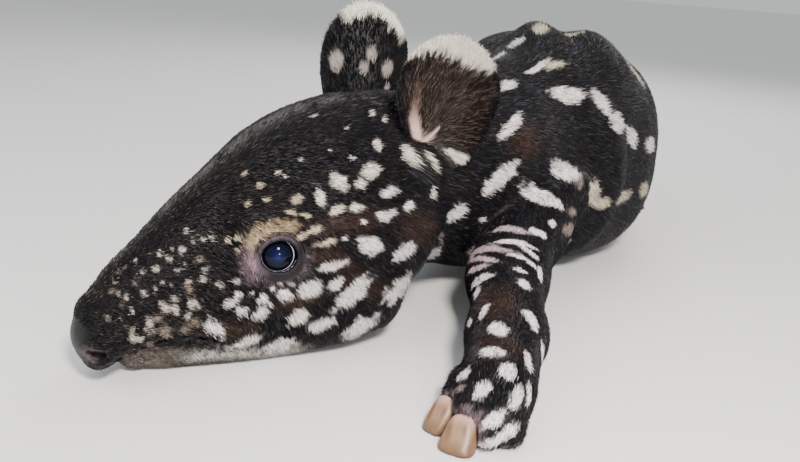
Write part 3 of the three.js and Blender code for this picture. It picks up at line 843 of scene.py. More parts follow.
def coloured_by_points(tree, shader, place, grain_mm, low, high, detail=3.0):
    """Base colour from the mesh's own colours, darker and paler by shares on a fine grain."""
    own = add_node(tree, "ShaderNodeAttribute", {"attribute_name": COLOUR_LAYER})
    grain = add_node(tree, "ShaderNodeTexNoise", {"Scale": mm(grain_mm), "Detail": detail},
                     {"Vector": place})
    level = add_node(tree, "ShaderNodeMapRange", {"To Min": low, "To Max": high},
                     {"Value": grain.outputs["Fac"]})
    mix = add_node(tree, "ShaderNodeVectorMath", {"operation": "SCALE"},
                   {0: own.outputs["Color"], "Scale": level.outputs["Result"]})
    tree.links.new(mix.outputs["Vector"], shader.inputs["Base Color"])


def skin_material():
    # Living skin under short fur: soft, slightly moist where bare, with pores and fine wrinkles
    def links(tree, shader, place):
        coloured_by_points(tree, shader, place, 1.2, 0.75, 1.25)
        pores = add_node(tree, "ShaderNodeTexNoise", {"Scale": mm(0.9), "Detail": 4.0},
                         {"Vector": place})
        cracks = add_node(tree, "ShaderNodeTexVoronoi",
                          {"feature": "DISTANCE_TO_EDGE", "Scale": mm(2.4)}, {"Vector": place})
        relief = add_node(tree, "ShaderNodeBump", {"Strength": 0.45, "Distance": 0.0006},
                          {"Height": pores.outputs["Fac"]})
        relief = add_node(tree, "ShaderNodeBump", {"Strength": 0.35, "Distance": 0.0005},
                          {"Height": cracks.outputs["Distance"], "Normal": relief.outputs["Normal"]})
        tree.links.new(relief.outputs["Normal"], shader.inputs["Normal"])
    return new_material("living_skin", {"Roughness": 0.5, "IOR": 1.4, "Specular IOR Level": 0.25}, links)


def fur_material():
    # Short glossy guard hair: dark, with a soft bluish sheen at a grazing angle
    def links(tree, shader, place):
        coloured_by_points(tree, shader, place, 2.5, 0.8, 1.2)
    return new_material("guard_hair", {
        "Roughness": 0.45, "IOR": 1.5, "Specular IOR Level": 0.22,
        "Sheen Weight": 0.03, "Sheen Roughness": 0.4, "Sheen Tint": rgba("#aeb4cc"),
    }, links)


def eye_material():
    # Wet eye of a young calf: dark blue with a hazy middle, partly painted glow, a thin painted highlight
    # past the iris and a nearly black rim
    def links(tree, shader, _):
        own = add_node(tree, "ShaderNodeAttribute", {"attribute_name": COLOUR_LAYER})
        tree.links.new(own.outputs["Color"], shader.inputs["Base Color"])
    return new_material("wet_eye", {
        "Roughness": 0.08, "IOR": 1.38, "Specular IOR Level": 0.1,
        "Coat Weight": 0.2, "Coat Roughness": 0.02, "Coat IOR": 1.38,
    }, links)


def horn_material():
    # Hoof horn of a young calf: smooth, tan, a little waxy, with fine growth lines
    def links(tree, shader, place):
        coloured_by_points(tree, shader, place, 3.0, 0.82, 1.12, detail=5.0)
        fine = add_node(tree, "ShaderNodeTexNoise", {"Scale": mm(0.8), "Detail": 3.0},
                        {"Vector": place})
        relief = add_node(tree, "ShaderNodeBump", {"Strength": 0.3, "Distance": 0.0004},
                          {"Height": fine.outputs["Fac"]})
        tree.links.new(relief.outputs["Normal"], shader.inputs["Normal"])
    return new_material("hoof_horn", {
        "Roughness": 0.38, "IOR": 1.54, "Subsurface Weight": 0.15,
        "Subsurface Radius": (0.004, 0.002, 0.001), "Subsurface Scale": 1.0,
    }, links)


def ear_material():
    # Thin warm skin of the ear, dull and finely wrinkled between the hairs
    def links(tree, shader, place):
        coloured_by_points(tree, shader, place, 1.6, 0.8, 1.2)
        fine = add_node(tree, "ShaderNodeTexNoise", {"Scale": mm(1.1), "Detail": 4.0},
                        {"Vector": place})
        relief = add_node(tree, "ShaderNodeBump", {"Strength": 0.4, "Distance": 0.0005},
                          {"Height": fine.outputs["Fac"]})
        tree.links.new(relief.outputs["Normal"], shader.inputs["Normal"])
    return new_material("ear_skin", {
        "Roughness": 0.55, "IOR": 1.4, "Subsurface Weight": 0.1,
        "Subsurface Radius": (0.003, 0.0012, 0.0008), "Subsurface Scale": 1.0,
    }, links)


SKIN = skin_material()
FUR = fur_material()
WET_EYE = eye_material()
HORN = horn_material()
EAR_SKIN = ear_material()


# Eyes: a ball whose rings run round the line of sight, coloured by the angle from it

IRIS_TURN = 7            # degrees that the iris looks forward of the lids' middle
IRIS_RISE = 0.06         # and how far up, as a share
IRIS_ANGLE = 48          # degrees from its middle to the iris' edge
BALL_INSET = 0.35
CORNEA_RISE = 0.35

# The ball's colours after its hazy middle, which is partly painted glow round the catchlights: each from
# one angle to another. The thin pale ring just past the iris' edge is a painted highlight.
EYE_RINGS = [
    (EYE_BLUE, 1, 12),
    (EYE_DARK, 10, 30),
    (EYE_RIM, 36, IRIS_ANGLE),
    (LIMBUS_HIGHLIGHT, IRIS_ANGLE + 0.5, IRIS_ANGLE + 2),
    (EYE_RIM, IRIS_ANGLE + 3, IRIS_ANGLE + 5.5),
]

TEAR_THICKNESS = 0.15
TEAR_PAST_LIDS = 0.25
TEAR_BEFORE_BALL = 0.35
TEAR_FROM, TEAR_TO = 158, 372     # degrees round the opening


def ball_rings(rings, sides):
    """A unit ball's points and four-sided faces, with its poles along the last axis."""
    polar = np.linspace(0, np.pi, rings + 1)[1:-1]
    turn = np.arange(sides) * 2 * np.pi / sides
    ring = np.sin(polar)[:, None]
    along_axis = np.cos(polar)[:, None] + 0 * turn
    points = np.stack([ring * np.cos(turn), ring * np.sin(turn), along_axis], -1)
    points = np.concatenate([points.reshape(-1, 3), [[0, 0, 1.0], [0, 0, -1.0]]])
    faces = []
    last = rings - 2
    for n in range(sides):
        m = (n + 1) % sides
        faces.append([len(points) - 2, n, m, m])
        for k in range(last):
            a, b = k * sides, (k + 1) * sides
            faces.append([a + n, b + n, b + m, a + m])
        faces.append([len(points) - 1, last * sides + m, last * sides + n, last * sides + n])
    return points, faces


def triangles_of(faces):
    """Four-sided faces as triangles, less those that close on themselves."""
    faces = np.asarray(faces)
    both = np.concatenate([faces[:, [0, 1, 2]], faces[:, [0, 2, 3]]])
    a, b, c = both.T
    return both[(a != b) & (b != c) & (a != c)]


def tear_line(eye):
    """The thin wet line that lies along the lower lid, as a tube with closed ends, coloured near white as
    a painted highlight.
    """
    steps, sides = 72, 8
    turn = np.radians(np.linspace(TEAR_FROM, TEAR_TO, steps))
    across = (LID_HALF_WIDTH + TEAR_PAST_LIDS) * np.cos(turn)
    up = (LID_HALF_HEIGHT + TEAR_PAST_LIDS) * np.sin(turn)
    ahead = np.sqrt((EYE_RADIUS + TEAR_BEFORE_BALL)**2 - across**2 - up**2)
    line = np.column_stack([ahead, across, up])
    thick = TEAR_THICKNESS * np.sin(np.linspace(0, np.pi, steps)) ** 0.4
    way = unit(np.gradient(line, axis=0))
    out = unit(line)
    side = np.cross(way, out)
    ring = np.arange(sides) * 2 * np.pi / sides
    spread = out[:, None] * np.cos(ring)[None, :, None] + side[:, None] * np.sin(ring)[None, :, None]
    tube = (line[:, None] + spread * thick[:, None, None]).reshape(-1, 3)
    tube = eye["centre"] + tube @ np.array([eye["sight"], eye["across"], eye["up"]])
    faces = []
    for k in range(steps - 1):
        for n in range(sides):
            m = (n + 1) % sides
            a, b = k * sides, (k + 1) * sides
            faces += [[a + n, b + n, b + m], [a + n, b + m, a + m]]
    return tube, np.array(faces)


def build_eyes():
    """Both eyeballs with their tear lines. The ball swells a little over the iris."""
    for name, eye in EYES.items():
        unit_ball, faces = ball_rings(90, 96)
        turn = np.radians(IRIS_TURN)
        gaze = eye["sight"] * np.cos(turn) + eye["across"] * np.sin(turn) + eye["up"] * IRIS_RISE
        gaze = unit(gaze)
        first = unit(np.cross(gaze, [0, 0, 1.0]))
        second = np.cross(gaze, first)
        points = unit_ball @ np.array([first, second, gaze])
        angle = np.degrees(np.arccos(clamp(unit_ball[:, 2], -1, 1)))
        cornea = CORNEA_RISE * (1 - smooth(angle, 20, IRIS_ANGLE + 4))
        # The paler blue middle is partly the eye's own colour and partly painted glow round the
        # catchlights
        colour = np.tile(EYE_HAZE_AND_GLOW, (len(points), 1))
        for target, start, end in EYE_RINGS:
            colour = tinted(colour, target, smooth(angle, start, end))
        ball = eye["centre"] + points * (EYE_RADIUS - BALL_INSET + cornea)[:, None]
        wet, wet_faces = tear_line(eye)
        points = np.concatenate([ball, wet])
        every = np.concatenate([triangles_of(faces), wet_faces + len(ball)])
        piece = make_mesh(f"eyeball_{name}", points, every, WET_EYE, [f"eye_{name}"])
        # The tear line's near-white colour is a painted highlight on its wet surface
        set_colours(piece.data, np.concatenate([colour, np.tile(TEAR_LINE_HIGHLIGHT, (len(wet), 1))]))


# Ears: each a cupped leaf about its own line from base to tip, as in the part's source. Places on
# it are u across, from -1 to 1, v from -1 at its base to 1 at its tip, and a face, 1 inside.
# In the table, opening is the way it faces (ahead, left, up), half is half its width in mm, and
# foot is the share of that width at its base.

EARS = {
    "left": {
        "base": (209, 48, 111), "tip": (198, 57, 191), "opening": (0.6, 0.8, 0.12),
        "half": 34, "foot": 0.72,
    },
    "right": {
        "base": (206, -36.5, 118), "tip": (209, -38.5, 203), "opening": (-0.45, -0.9, 0.12),
        "half": 33, "foot": 1.0,
    },
}
EAR_BELOW_BASE = 6       # how far the leaf runs on below its base
EAR_BASE_BACK = 13       # how far its base lies behind its tip
EAR_BACK = 3             # how far all of it lies behind its line
EAR_ROUNDNESS = 0.8      # power that makes the rim blunter than a ball's


def ear_axes(ear):
    """The ear's base, its height, and its ways up, across and out of the opening."""
    base, tip = from_head(*ear["base"]), from_head(*ear["tip"])
    height = np.linalg.norm(tip - base)
    up = (tip - base) / height
    ahead, out, rise = ear["opening"]
    facing = np.append(ahead * FORWARD + out * LEFTWARD, rise)
    facing = unit(facing - facing @ up * up)
    return base, height, up, np.cross(up, facing), facing


def ear_place(ear, u, v, face, raised):
    """Places on the leaf. It bends about its line, most at the base, where it is thickest."""
    base, height, up, across, facing = ear_axes(ear)
    rise = (v + 1) / 2
    arc = u * ear["half"] * (ear["foot"] + (1 - ear["foot"]) * np.minimum(rise * 1.6, 1))
    bend = ear["half"] / (1.3 - 0.8 * np.minimum(rise * 1.25, 1))
    thick = EAR_THICKNESS * 0.5 * face * (1.5 - 0.7 * rise) + raised
    reach = bend - thick
    sideways = reach * np.sin(arc / bend)
    depth = bend - reach * np.cos(arc / bend) - EAR_BASE_BACK * (1 - rise) - EAR_BACK
    lift = -EAR_BELOW_BASE + (height + EAR_BELOW_BASE) * rise
    return base + lift[:, None] * up + sideways[:, None] * across + depth[:, None] * facing


def between(u, v, start, end):
    """Distance from places on the ear to a line on it."""
    start, end = np.array(start), np.array(end)
    away = np.column_stack([u, v]) - start
    reach = end - start
    t = clamp(away @ reach / (reach @ reach))
    return np.linalg.norm(away - t[:, None] * reach, axis=1)


# Lines on the leaf, as u and v
EAR_RIDGE = [(-0.57, 0.28), (-0.65, 0.04), (-0.69, -0.15), (-0.67, -0.34), (-0.6, -0.58)]
EAR_FLAP = [(-0.5, -0.54), (-0.28, -0.42), (-0.12, -0.32)]
EAR_LOW_PATCH = [(-0.02, -0.66), (0.21, -0.75), (0.55, -0.8)]
EAR_FRINGE = [(-0.74, 0.68), (-0.41, 0.74), (-0.06, 0.68), (0.31, 0.55), (0.64, 0.5), (0.8, 0.58)]
EAR_FOLDS = [[(-0.5, 0.1), (-0.42, 0.55)], [(-0.2, -0.1), (0.0, 0.5)], [(0.1, -0.35), (0.5, 0.05)]]
HAIR_CENTRE = (-0.62, -0.62)

# Height in mm and half width of the raised lines
EAR_RELIEF = [(EAR_RIDGE, 1.6, 0.09), (EAR_FLAP, 1.5, 0.07), *((line, 0.7, 0.08) for line in EAR_FOLDS)]

# Far ear's pale spots on its outer face: u, v and half sizes
FAR_EAR_SPOTS = [
    (0.6, 0.12, 0.13, 0.14), (-0.07, 0.26, 0.1, 0.1), (0.07, 0.06, 0.08, 0.08),
    (-0.4, 0.06, 0.11, 0.1), (-0.42, -0.2, 0.05, 0.05),
]

EAR_PATTERN = 34       # mm of pattern for each unit of u and v


def to_line(u, v, line):
    return np.min([between(u, v, a, b) for a, b in zip(line[:-1], line[1:])], axis=0)


def ridge_width(v):
    return 0.05 + 0.07 * bump(v, -0.28, 0.28)


def ear_colour(u, v, inside, left):
    """Skin and hair of the ear: dark, brown inside, pink on its ridge, pale along its rim's top."""
    rim = np.hypot(u, v)
    turn = np.degrees(np.arctan2(v, u))
    P = np.column_stack([u, v, inside]) * EAR_PATTERN
    colour = np.tile(COAT_BLACK, (len(u), 1))

    def tint(target, cover):
        nonlocal colour
        colour = tinted(colour, target, cover)

    brown = inside * (1 - smooth(rim, 0.66, 0.92)) * (1 - 0.9 * smooth(-u, 0.72, 0.86))
    tint(EAR_BROWN, brown * clamp(0.8 + 0.3 * waves(P, 9, 41)))
    middle = np.exp(-(((u - 0.02) / 0.4) ** 2 + ((v - 0.02) / 0.45) ** 2))
    tint(EAR_TAN, inside * middle * clamp(0.22 + 0.25 * waves(P, 5, 43)))
    edge = 0.04 * waves(P, 4, 42)
    if left:
        top = v + edge - np.interp(u, *np.transpose(EAR_FRINGE))
        tint(SPOT_CREAM_PALE, inside * smooth(top, -0.04, 0.05) * smooth(u, -0.84, -0.76))
    else:
        band = smooth(rim + edge, 0.77, 0.85) * smooth(turn, 50, 62) * (1 - smooth(turn, 138, 150))
        tint(SPOT_CREAM_PALE, band)
    outer_top = (1 - inside) * smooth(rim + edge, 0.84, 0.93) * smooth(v, 0.5, 0.7)
    tint(SPOT_CREAM, outer_top * left)
    if not left:
        for spot_u, spot_v, wide, high in FAR_EAR_SPOTS:
            level = np.hypot((u - spot_u) / wide, (v - spot_v) / high)
            tint(SPOT_DIM_PALE, (1 - inside) * (1 - smooth(level + 2 * edge, 0.8, 1.25)))
    ridge = inside * (1 - smooth(to_line(u, v, EAR_RIDGE) / ridge_width(v), 0.7, 1.3))
    tint(EAR_PINK, (0.25 + 0.65 * smooth(-v, -0.2, 0.1)) * ridge)
    tint(EAR_PINK_PALE, 0.95 * smooth(-v, 0.0, 0.35) * ridge)
    wide = 0.015 + 0.04 * smooth(-v, 0.3, 0.54)
    tint(EAR_PINK_PALE, 0.9 * inside * (1 - smooth(to_line(u, v, EAR_FLAP) / wide, 0.7, 1.3)))
    if left:
        wide = 0.03 + 0.06 * smooth(u, -0.02, 0.4)
        level = to_line(u, v, EAR_LOW_PATCH) / wide + 3 * edge
        tint(SPOT_CREAM_PALE, inside * (1 - smooth(level, 0.7, 1.3)))
    return colour


def ear_relief(u, v, inside):
    """Height of folds and ridges on the inner face, in mm."""
    raised = np.zeros(len(u))
    for line, height, wide in EAR_RELIEF:
        raised += height * bump(to_line(u, v, line), 0, wide)
    return raised * inside


# Root of the ear, a knob in the flesh: radii, and its middle's place up and back from the base
EAR_ROOT_RADII = (10, 9, 15)
EAR_ROOT_UP = 4
EAR_ROOT_BACK = 25
EAR_SKIN_SHADE = 0.8


def build_ears():
    """Both ears, each a leaf with a knob at its root."""
    for name, ear in EARS.items():
        ball, faces = ball_rings(56, 128)
        u, v, face = ball.T
        face = np.sign(face) * np.abs(face) ** EAR_ROUNDNESS
        inside = smooth(face, -0.15, 0.15)
        leaf = ear_place(ear, u, v, face, ear_relief(u, v, inside))
        base, _, up, _, facing = ear_axes(ear)
        knob, knob_faces = ball_rings(24, 40)
        side = unit(np.cross(up, facing))
        wide, deep, high = EAR_ROOT_RADII
        axes = np.array([side * wide, np.cross(up, side) * deep, up * high])
        root = knob @ axes + base + up * EAR_ROOT_UP - facing * EAR_ROOT_BACK
        points = np.concatenate([leaf, root])
        every = np.concatenate([triangles_of(faces), triangles_of(knob_faces) + len(ball)])
        piece = make_mesh(f"ear_skin_{name}", points, every, EAR_SKIN, [f"ear_{name}"])
        colour = ear_colour(u, v, inside, name == "left") * EAR_SKIN_SHADE
        set_colours(piece.data, np.concatenate([colour, np.tile(COAT_BLACK, (len(root), 1))]))


# Hooves: a wall of horn that slopes from the coronet to a blunt edge on the floor, with a flat sole

# Share of the half width at a hoof's middle, and how much it grows to the front, for broad ones
# and for slim ones
BROAD_HOOF = (0.86, 0.1)
SLIM_HOOF = (0.84, -0.16)
CORONET_NARROWING = 0.16
LOWEST_SOLE = 0.3
HORN_WALL = 0.6        # height of the wall's blunt edge


def build_hooves():
    """Every hoof, from a ball whose rings are squared, flattened below and sloped on top."""
    ball, faces = ball_rings(32, 48)
    ahead, across, up = ball[:, 2], ball[:, 0], ball[:, 1]
    reach = np.hypot(ahead, across)
    squared = (np.abs(ahead)**3 + np.abs(across)**3) ** (1 / 3)
    corner = np.where(squared > 1e-6, reach / np.maximum(squared, 1e-6), 1)
    ahead, across = ahead * corner, across * corner
    shell = np.sqrt(np.maximum(2 * up**2 - up**4, 0)) * (up > 0)
    streak = waves(np.column_stack([across * 9, ahead * 1.2, up * 9]), 5, 71)
    for foot, toes in TOES.items():
        for number, (root, tip, _, (length, half, height)) in enumerate(map(shown, toes), 1):
            share, growth = BROAD_HOOF if half > MIDDLE[1] else SLIM_HOOF
            wide = half * share * (1 + growth * ahead)
            wide = wide * (1 - CORONET_NARROWING * clamp(up))
            high = height * (0.9 - 0.62 * smooth(ahead, -0.6, 1.05))
            heading = heading_of(root, tip)
            sideways = np.array([-heading[1], heading[0]])
            place = np.array(tip[:2]) + (ahead * length / 2)[:, None] * heading
            place = place + (across * wide)[:, None] * sideways
            sole = max(tip[2] - height / 2, LOWEST_SOLE)
            z = sole + high * shell + HORN_WALL * (up > -0.2) * (1 - shell)
            points = np.column_stack([place, z])
            piece = make_mesh(
                f"horn_{foot}_{number}", points, triangles_of(faces), HORN,
                [f"hoof_{foot}_{number}"],
            )
            colour = np.tile(HORN_TAN, (len(points), 1))
            for target, cover in (
                (HORN_PALE, clamp(0.3 + 0.6 * streak) * (1 - smooth(ahead, 0.1, 0.9))),
                (HORN_BROWN, clamp(0.25 - 0.6 * streak)),
                (HORN_BROWN, 0.8 * smooth(ahead + 0.2 * across, 0.3, 0.9)),
                (HORN_BROWN, 0.7 * smooth(np.abs(across), 0.6, 0.95) * clamp(0.6 + 0.5 * streak)),
                (FOOT_PINK, 0.8 * (1 - smooth(ahead, -0.4, 0.2)) * smooth(up, 0.2, 0.9)),
                (HORN_EDGE, 0.8 * (1 - smooth(points[:, 2] - sole, 0.3, 2.2))),
            ):
                colour = tinted(colour, target, cover)
            set_colours(piece.data, colour)


# Markings. Each row is a patch seen in the photograph: its middle across and down in pixels, its
# length and width in pixels, and its turn in degrees, which is below zero where it rises to the
# right.

SNOUT_MARKS = [
    (186, 230, 5, 6, 0), (212, 237, 9, 6, 0), (203, 238, 7, 5, 0), (193, 242, 6, 5, 0),
    (227, 240, 6, 6, 0), (182, 249, 6, 6, 0), (171, 249, 4, 6, 0), (161, 251, 4, 5, 0),
    (150, 254, 6, 5, 0), (159, 256, 4, 5, 0), (169, 258, 6, 6, 0), (135, 261, 3, 5, 0),
    (156, 268, 8, 5, -30), (143, 272, 6, 6, 0), (177, 270, 6, 5, 0), (185, 265, 3, 3, 0),
    (124, 267, 3, 3, 0), (204, 270, 9, 7, 0), (203, 280, 8, 6, 0), (188, 281, 7, 5, 0),
    (219, 285, 9, 6, -30), (236, 281, 8, 6, 0), (163, 283, 4, 6, 0), (156, 290, 3, 5, 0),
    (143, 293, 7, 6, 0), (119, 293, 3, 4, 0), (126, 298, 4, 6, 0), (175, 299, 12, 8, -40),
    (165, 308, 10, 9, 0), (176, 308, 9, 9, 0), (193, 305, 14, 10, -50), (188, 314, 6, 8, 0),
    (149, 323, 8, 9, 0), (148, 331, 10, 8, 0), (133, 330, 6, 6, 0), (133, 339, 9, 9, 0),
    (140, 339, 6, 6, 0), (112, 305, 3, 4, 0), (108, 318, 3, 4, 0), (121, 318, 4, 4, 0),
    (115, 282, 3, 4, 0), (131, 311, 4, 4, 0), (221, 339, 8, 6, 0),
]

# Dimmer patches of the snout, of tan hair; the one at 158, 317 is a painted glint
TAN_MARKS = [
    (189, 289, 9, 10, 0), (135, 284, 7, 7, 0), (166, 331, 12, 14, 0), (195, 322, 13, 9, 0),
    (182, 329, 13, 8, 0), (172, 286, 4, 5, 0), (199, 259, 6, 5, 0), (158, 317, 10, 10, 0),
    (228, 249, 4, 4, 0), (150, 344, 10, 6, -20), (208, 352, 12, 6, 0), (119, 272, 5, 4, 0),
    (112, 291, 5, 5, 0), (122, 306, 5, 4, 0), (140, 303, 5, 5, 0), (104, 300, 4, 4, 0),
    (127, 328, 5, 5, 0), (117, 334, 5, 4, 0),
]

HEAD_MARKS = [
    (389, 192, 17, 10, -20), (408, 206, 13, 9, -20), (386, 215, 20, 11, -15), (370, 245, 25, 18, 15),
    (404, 252, 29, 14, -30), (400, 288, 38, 18, -40), (353, 293, 48, 18, -42), (336, 284, 19, 10, -35),
    (310, 289, 25, 17, -25), (285, 295, 15, 11, 0), (264, 299, 12, 9, 0), (238, 295, 8, 8, 0),
    (230, 303, 13, 8, -10), (242, 311, 11, 9, 0), (260, 314, 18, 11, -35), (297, 318, 24, 14, -35),
    (321, 325, 28, 13, -20), (360, 328, 40, 18, -32), (248, 341, 25, 11, -20), (280, 345, 34, 12, -12),
    (213, 328, 21, 13, 30), (457, 213, 25, 16, -30), (433, 253, 20, 13, -60), (332, 266, 31, 8, -16),
    (345, 238, 6, 4, 0), (363, 222, 5, 4, 0),
]

# Creamier patches above the eye and below the ear
CREAM_MARKS = [
    (371, 171, 18, 15, 0), (338, 182, 22, 14, 40), (361, 184, 12, 12, 0), (320, 197, 23, 10, 70),
    (337, 210, 15, 10, -20), (357, 208, 14, 9, -20), (377, 144, 9, 12, 0), (433, 193, 6, 13, 0),
    (384, 119, 4, 8, 0), (371, 113, 4, 8, 0), (313, 116, 4, 3, 0), (347, 128, 3, 3, 0),
    (300, 160, 3, 3, 0), (330, 150, 3, 3, 0), (352, 158, 4, 3, 0), (285, 176, 3, 3, 0),
    (270, 305, 4, 4, 0), (252, 292, 4, 4, 0), (281, 284, 4, 4, 0), (273, 289, 5, 4, 0),
    (291, 284, 7, 4, 0), (410, 155, 24, 15, 60), (431, 161, 9, 22, -30),
]

PALE_MARKS = [
    (297, 199, 12, 8, -20), (247, 204, 6, 4, -50), (266, 200, 6, 5, 0), (260, 186, 7, 5, 0),
    (245, 173, 4, 4, 0), (277, 172, 5, 4, 0), (306, 215, 14, 4, 8), (290, 212, 10, 6, 0),
    (311, 232, 27, 7, -23), (325, 243, 23, 6, -20), (228, 241, 5, 5, 0), (238, 238, 6, 6, 0),
    (237, 251, 4, 4, 0),
]

BODY_MARKS = [
    (500, 56, 14, 6, -30), (517, 43, 19, 9, -35), (507, 85, 20, 11, -20), (536, 69, 35, 6, -40),
    (566, 95, 41, 17, 0), (511, 126, 36, 11, -45), (602, 103, 33, 12, 52), (618, 122, 22, 17, 60),
    (631, 137, 24, 14, 55), (650, 145, 16, 16, 0), (563, 171, 41, 18, 15), (500, 178, 46, 16, -42),
    (543, 197, 46, 15, 15), (553, 223, 9, 7, 0), (482, 219, 8, 6, 0), (538, 233, 20, 7, 18),
]

# Dimmer patches on the back and flank
BODY_CREAM_MARKS = [
    (541, 28, 15, 16, 0), (558, 27, 8, 5, 0), (555, 65, 22, 8, -20), (574, 35, 24, 4, -25),
    (634, 73, 33, 7, 48), (593, 192, 14, 24, 0), (601, 203, 21, 12, 0), (621, 197, 25, 11, -15),
    (644, 189, 15, 14, -40),
]

DIM_MARKS = [(572, 212, 14, 9, 0), (570, 229, 23, 11, 0), (580, 183, 9, 13, 30), (459, 389, 14, 5, -25)]

# Bands across the inner side of the upper foreleg
BAND_MARKS = [(480, 250, 66, 8, -5), (481, 259, 42, 6, 8), (511, 229, 42, 8, 8), (477, 268, 30, 6, -10)]

FORELEG_MARKS = [
    (515, 242, 44, 6, 8), (531, 253, 22, 5, 35), (517, 256, 20, 4, 14), (531, 263, 13, 4, 40),
    (520, 270, 15, 4, 20), (540, 274, 6, 18, 0), (481, 279, 28, 10, -20), (477, 293, 9, 13, 0),
    (484, 311, 18, 7, -70), (524, 284, 16, 10, 50), (532, 320, 25, 11, 65), (498, 329, 21, 17, 30),
    (492, 352, 27, 12, 5), (508, 371, 18, 17, 0), (528, 361, 8, 24, 0), (542, 354, 5, 26, 0),
    (482, 390, 22, 12, -35), (464, 374, 18, 9, -35), (517, 398, 25, 12, -69), (529, 396, 5, 24, 0),
    (495, 419, 28, 12, -30), (498, 440, 52, 10, -37), (547, 300, 5, 16, 0), (470, 322, 7, 10, 0),
]

# Soft brown tints under the other patches, larger than what shows
BROWN_TINTS = [
    (365, 285, 60, 26, 30), (350, 222, 90, 24, -10), (420, 230, 50, 40, 0), (525, 140, 40, 40, 0),
    (330, 258, 50, 20, 10), (230, 330, 60, 16, 0), (495, 300, 50, 50, 0), (300, 300, 50, 20, -20),
    (450, 130, 30, 30, 0), (500, 345, 50, 40, 0),
]

# Each group of patches: its colour, the levels where its edge starts and ends, and its roughness
MARK_GROUPS = [
    (BROWN_TINTS, COAT_BROWN, (0.2, 1.5, 0.1)),
    (TAN_MARKS, SPOT_TAN, (0.25, 1.15, 0.45)),
    (SNOUT_MARKS, SPOT_SNOUT, (0.3, 1.02, 0.4)),
    (HEAD_MARKS, SPOT_WHITE, (0.78, 1.14, 0.17)),
    (CREAM_MARKS, SPOT_CREAM_PALE, (0.7, 1.15, 0.18)),
    (PALE_MARKS, SPOT_CREAM, (0.55, 1.2, 0.25)),
    (BODY_MARKS, SPOT_WHITE, (0.84, 1.14, 0.14)),
    (BODY_CREAM_MARKS, BODY_CREAM, (0.8, 1.2, 0.12)),
    (DIM_MARKS, SPOT_DIM, (0.6, 1.3, 0.2)),
    (BAND_MARKS, BAND_PINK, (0.7, 1.15, 0.12)),
    (FORELEG_MARKS, SPOT_WHITE, (0.84, 1.13, 0.12)),
]
ONE_SIDED = (BODY_MARKS, BODY_CREAM_MARKS, FORELEG_MARKS, BAND_MARKS, DIM_MARKS)
HIDDEN_EDGE = (0.86, 1.14, 0.12)

# Where the head's patches have a twin: up to so far behind the nose and from so far off its middle
TWIN_BEHIND = 225
TWIN_SIDE = 4
TWIN_JITTER = 3.0


def mark_frame(centre, normal, long_half, wide_half):
    """A patch: its middle, its normal, and what turns a place into lengths and widths."""
    to_long = np.cross(wide_half, normal)
    to_wide = np.cross(normal, long_half)
    return {
        "centre": centre,
        "normal": normal,
        "long": to_long / (long_half @ to_long),
        "wide": to_wide / (wide_half @ to_wide),
        "reach": max(np.linalg.norm(long_half), np.linalg.norm(wide_half)),
    }


TOWARDS_CAMERA = 0.35


def seen_mark(tree, mark):
    """A patch of the photograph, laid on the surface that its pixel falls on."""
    x, y, length, width, turn = mark
    ray = unit(pixel_ray(x, y))
    hit, normal, _, _ = tree.ray_cast(Vector(CAMERA_AT), Vector(ray))
    if hit is None:
        return None
    hit = np.array(hit)
    normal = np.array(normal)
    if normal @ ray > 0:
        normal = -normal
    # A patch seen at a grazing angle lies on a plane turned a little towards the camera
    plane = unit(normal - TOWARDS_CAMERA * ray)
    halves = []
    for half, angle in ((length / 2, turn), (width / 2, turn + 90)):
        way = np.array([np.cos(np.radians(angle)), np.sin(np.radians(angle))]) * half
        side = pixel_ray(x + way[0], y + way[1])
        t = ((hit - CAMERA_AT) @ plane) / (side @ plane)
        halves.append(CAMERA_AT + side * t - hit)
    return mark_frame(hit, plane, *halves)


def mark_cover(P, mark, start, end, rough):
    """How much of a patch covers each place, from 0 to 1."""
    cover = np.zeros(len(P))
    away = P - mark["centre"]
    near = (np.abs(away) < mark["reach"] * end + 2).all(axis=1)
    if not near.any():
        return cover
    away = away[near]
    level = np.hypot(away @ mark["long"], away @ mark["wide"])
    level += rough * (waves(P[near], 7, 21) + 0.8 * waves(P[near], 2.6, 22))
    part = 1 - smooth(level, start, end)
    part *= np.abs(away @ mark["normal"]) < 0.6 * mark["reach"] + 4
    cover[near] = part
    return cover


def mirrored_head_mark(mark, draw):
    """The patch's twin on the right side of the head, a little moved, or None if it has none."""
    H = to_head(mark["centre"][None])[0]
    if H[0] > TWIN_BEHIND or H[1] < TWIN_SIDE:
        return None
    jitter = draw.normal(size=3) * TWIN_JITTER
    centre = from_head(H[0] + jitter[0], -H[1], max(H[2] + jitter[2], 3))

    def flip(vector):
        return vector - 2 * (vector[:2] @ LEFTWARD) * np.append(LEFTWARD, 0)
    twin = {key: flip(mark[key]) for key in ("normal", "long", "wide")}
    return {**twin, "centre": centre, "reach": mark["reach"]}


IN_SIGHT_MARGIN = 5


def laid_mark(tree, target, way, length, width):
    """A patch laid on the surface nearest to a place, with its length along a direction. None
    where the photograph looks."""
    hit, normal, _, _ = tree.find_nearest(Vector(target))
    hit, normal = np.array(hit), np.array(normal)
    sight = hit - CAMERA_AT
    distance = np.linalg.norm(sight)
    first, _, _, far = tree.ray_cast(Vector(CAMERA_AT), Vector(sight / distance))
    if first is not None and far > distance - IN_SIGHT_MARGIN:
        return None
    long_way = unit(way - (way @ normal) * normal)
    wide_way = np.cross(normal, long_way)
    return mark_frame(hit, normal, long_way * length / 2, wide_way * width / 2)


# Rows of hidden patches: angles round the trunk and the neck in degrees, and the radii there
TRUNK_ROWS = np.arange(-50, 236, 22)
TRUNK_FROM, TRUNK_TO = 600, 950
TRUNK_ROW_SHIFT = 22
TRUNK_ROW_MIDDLE = 90
TRUNK_ROW_RADII = (108, 92)
NECK_ROWS = np.arange(20, 200, 26)
NECK_STEPS = np.arange(0.05, 1.0, 0.21)
NECK_ROW_RADIUS = 62
LEG_STEPS = (0.2, 0.7)


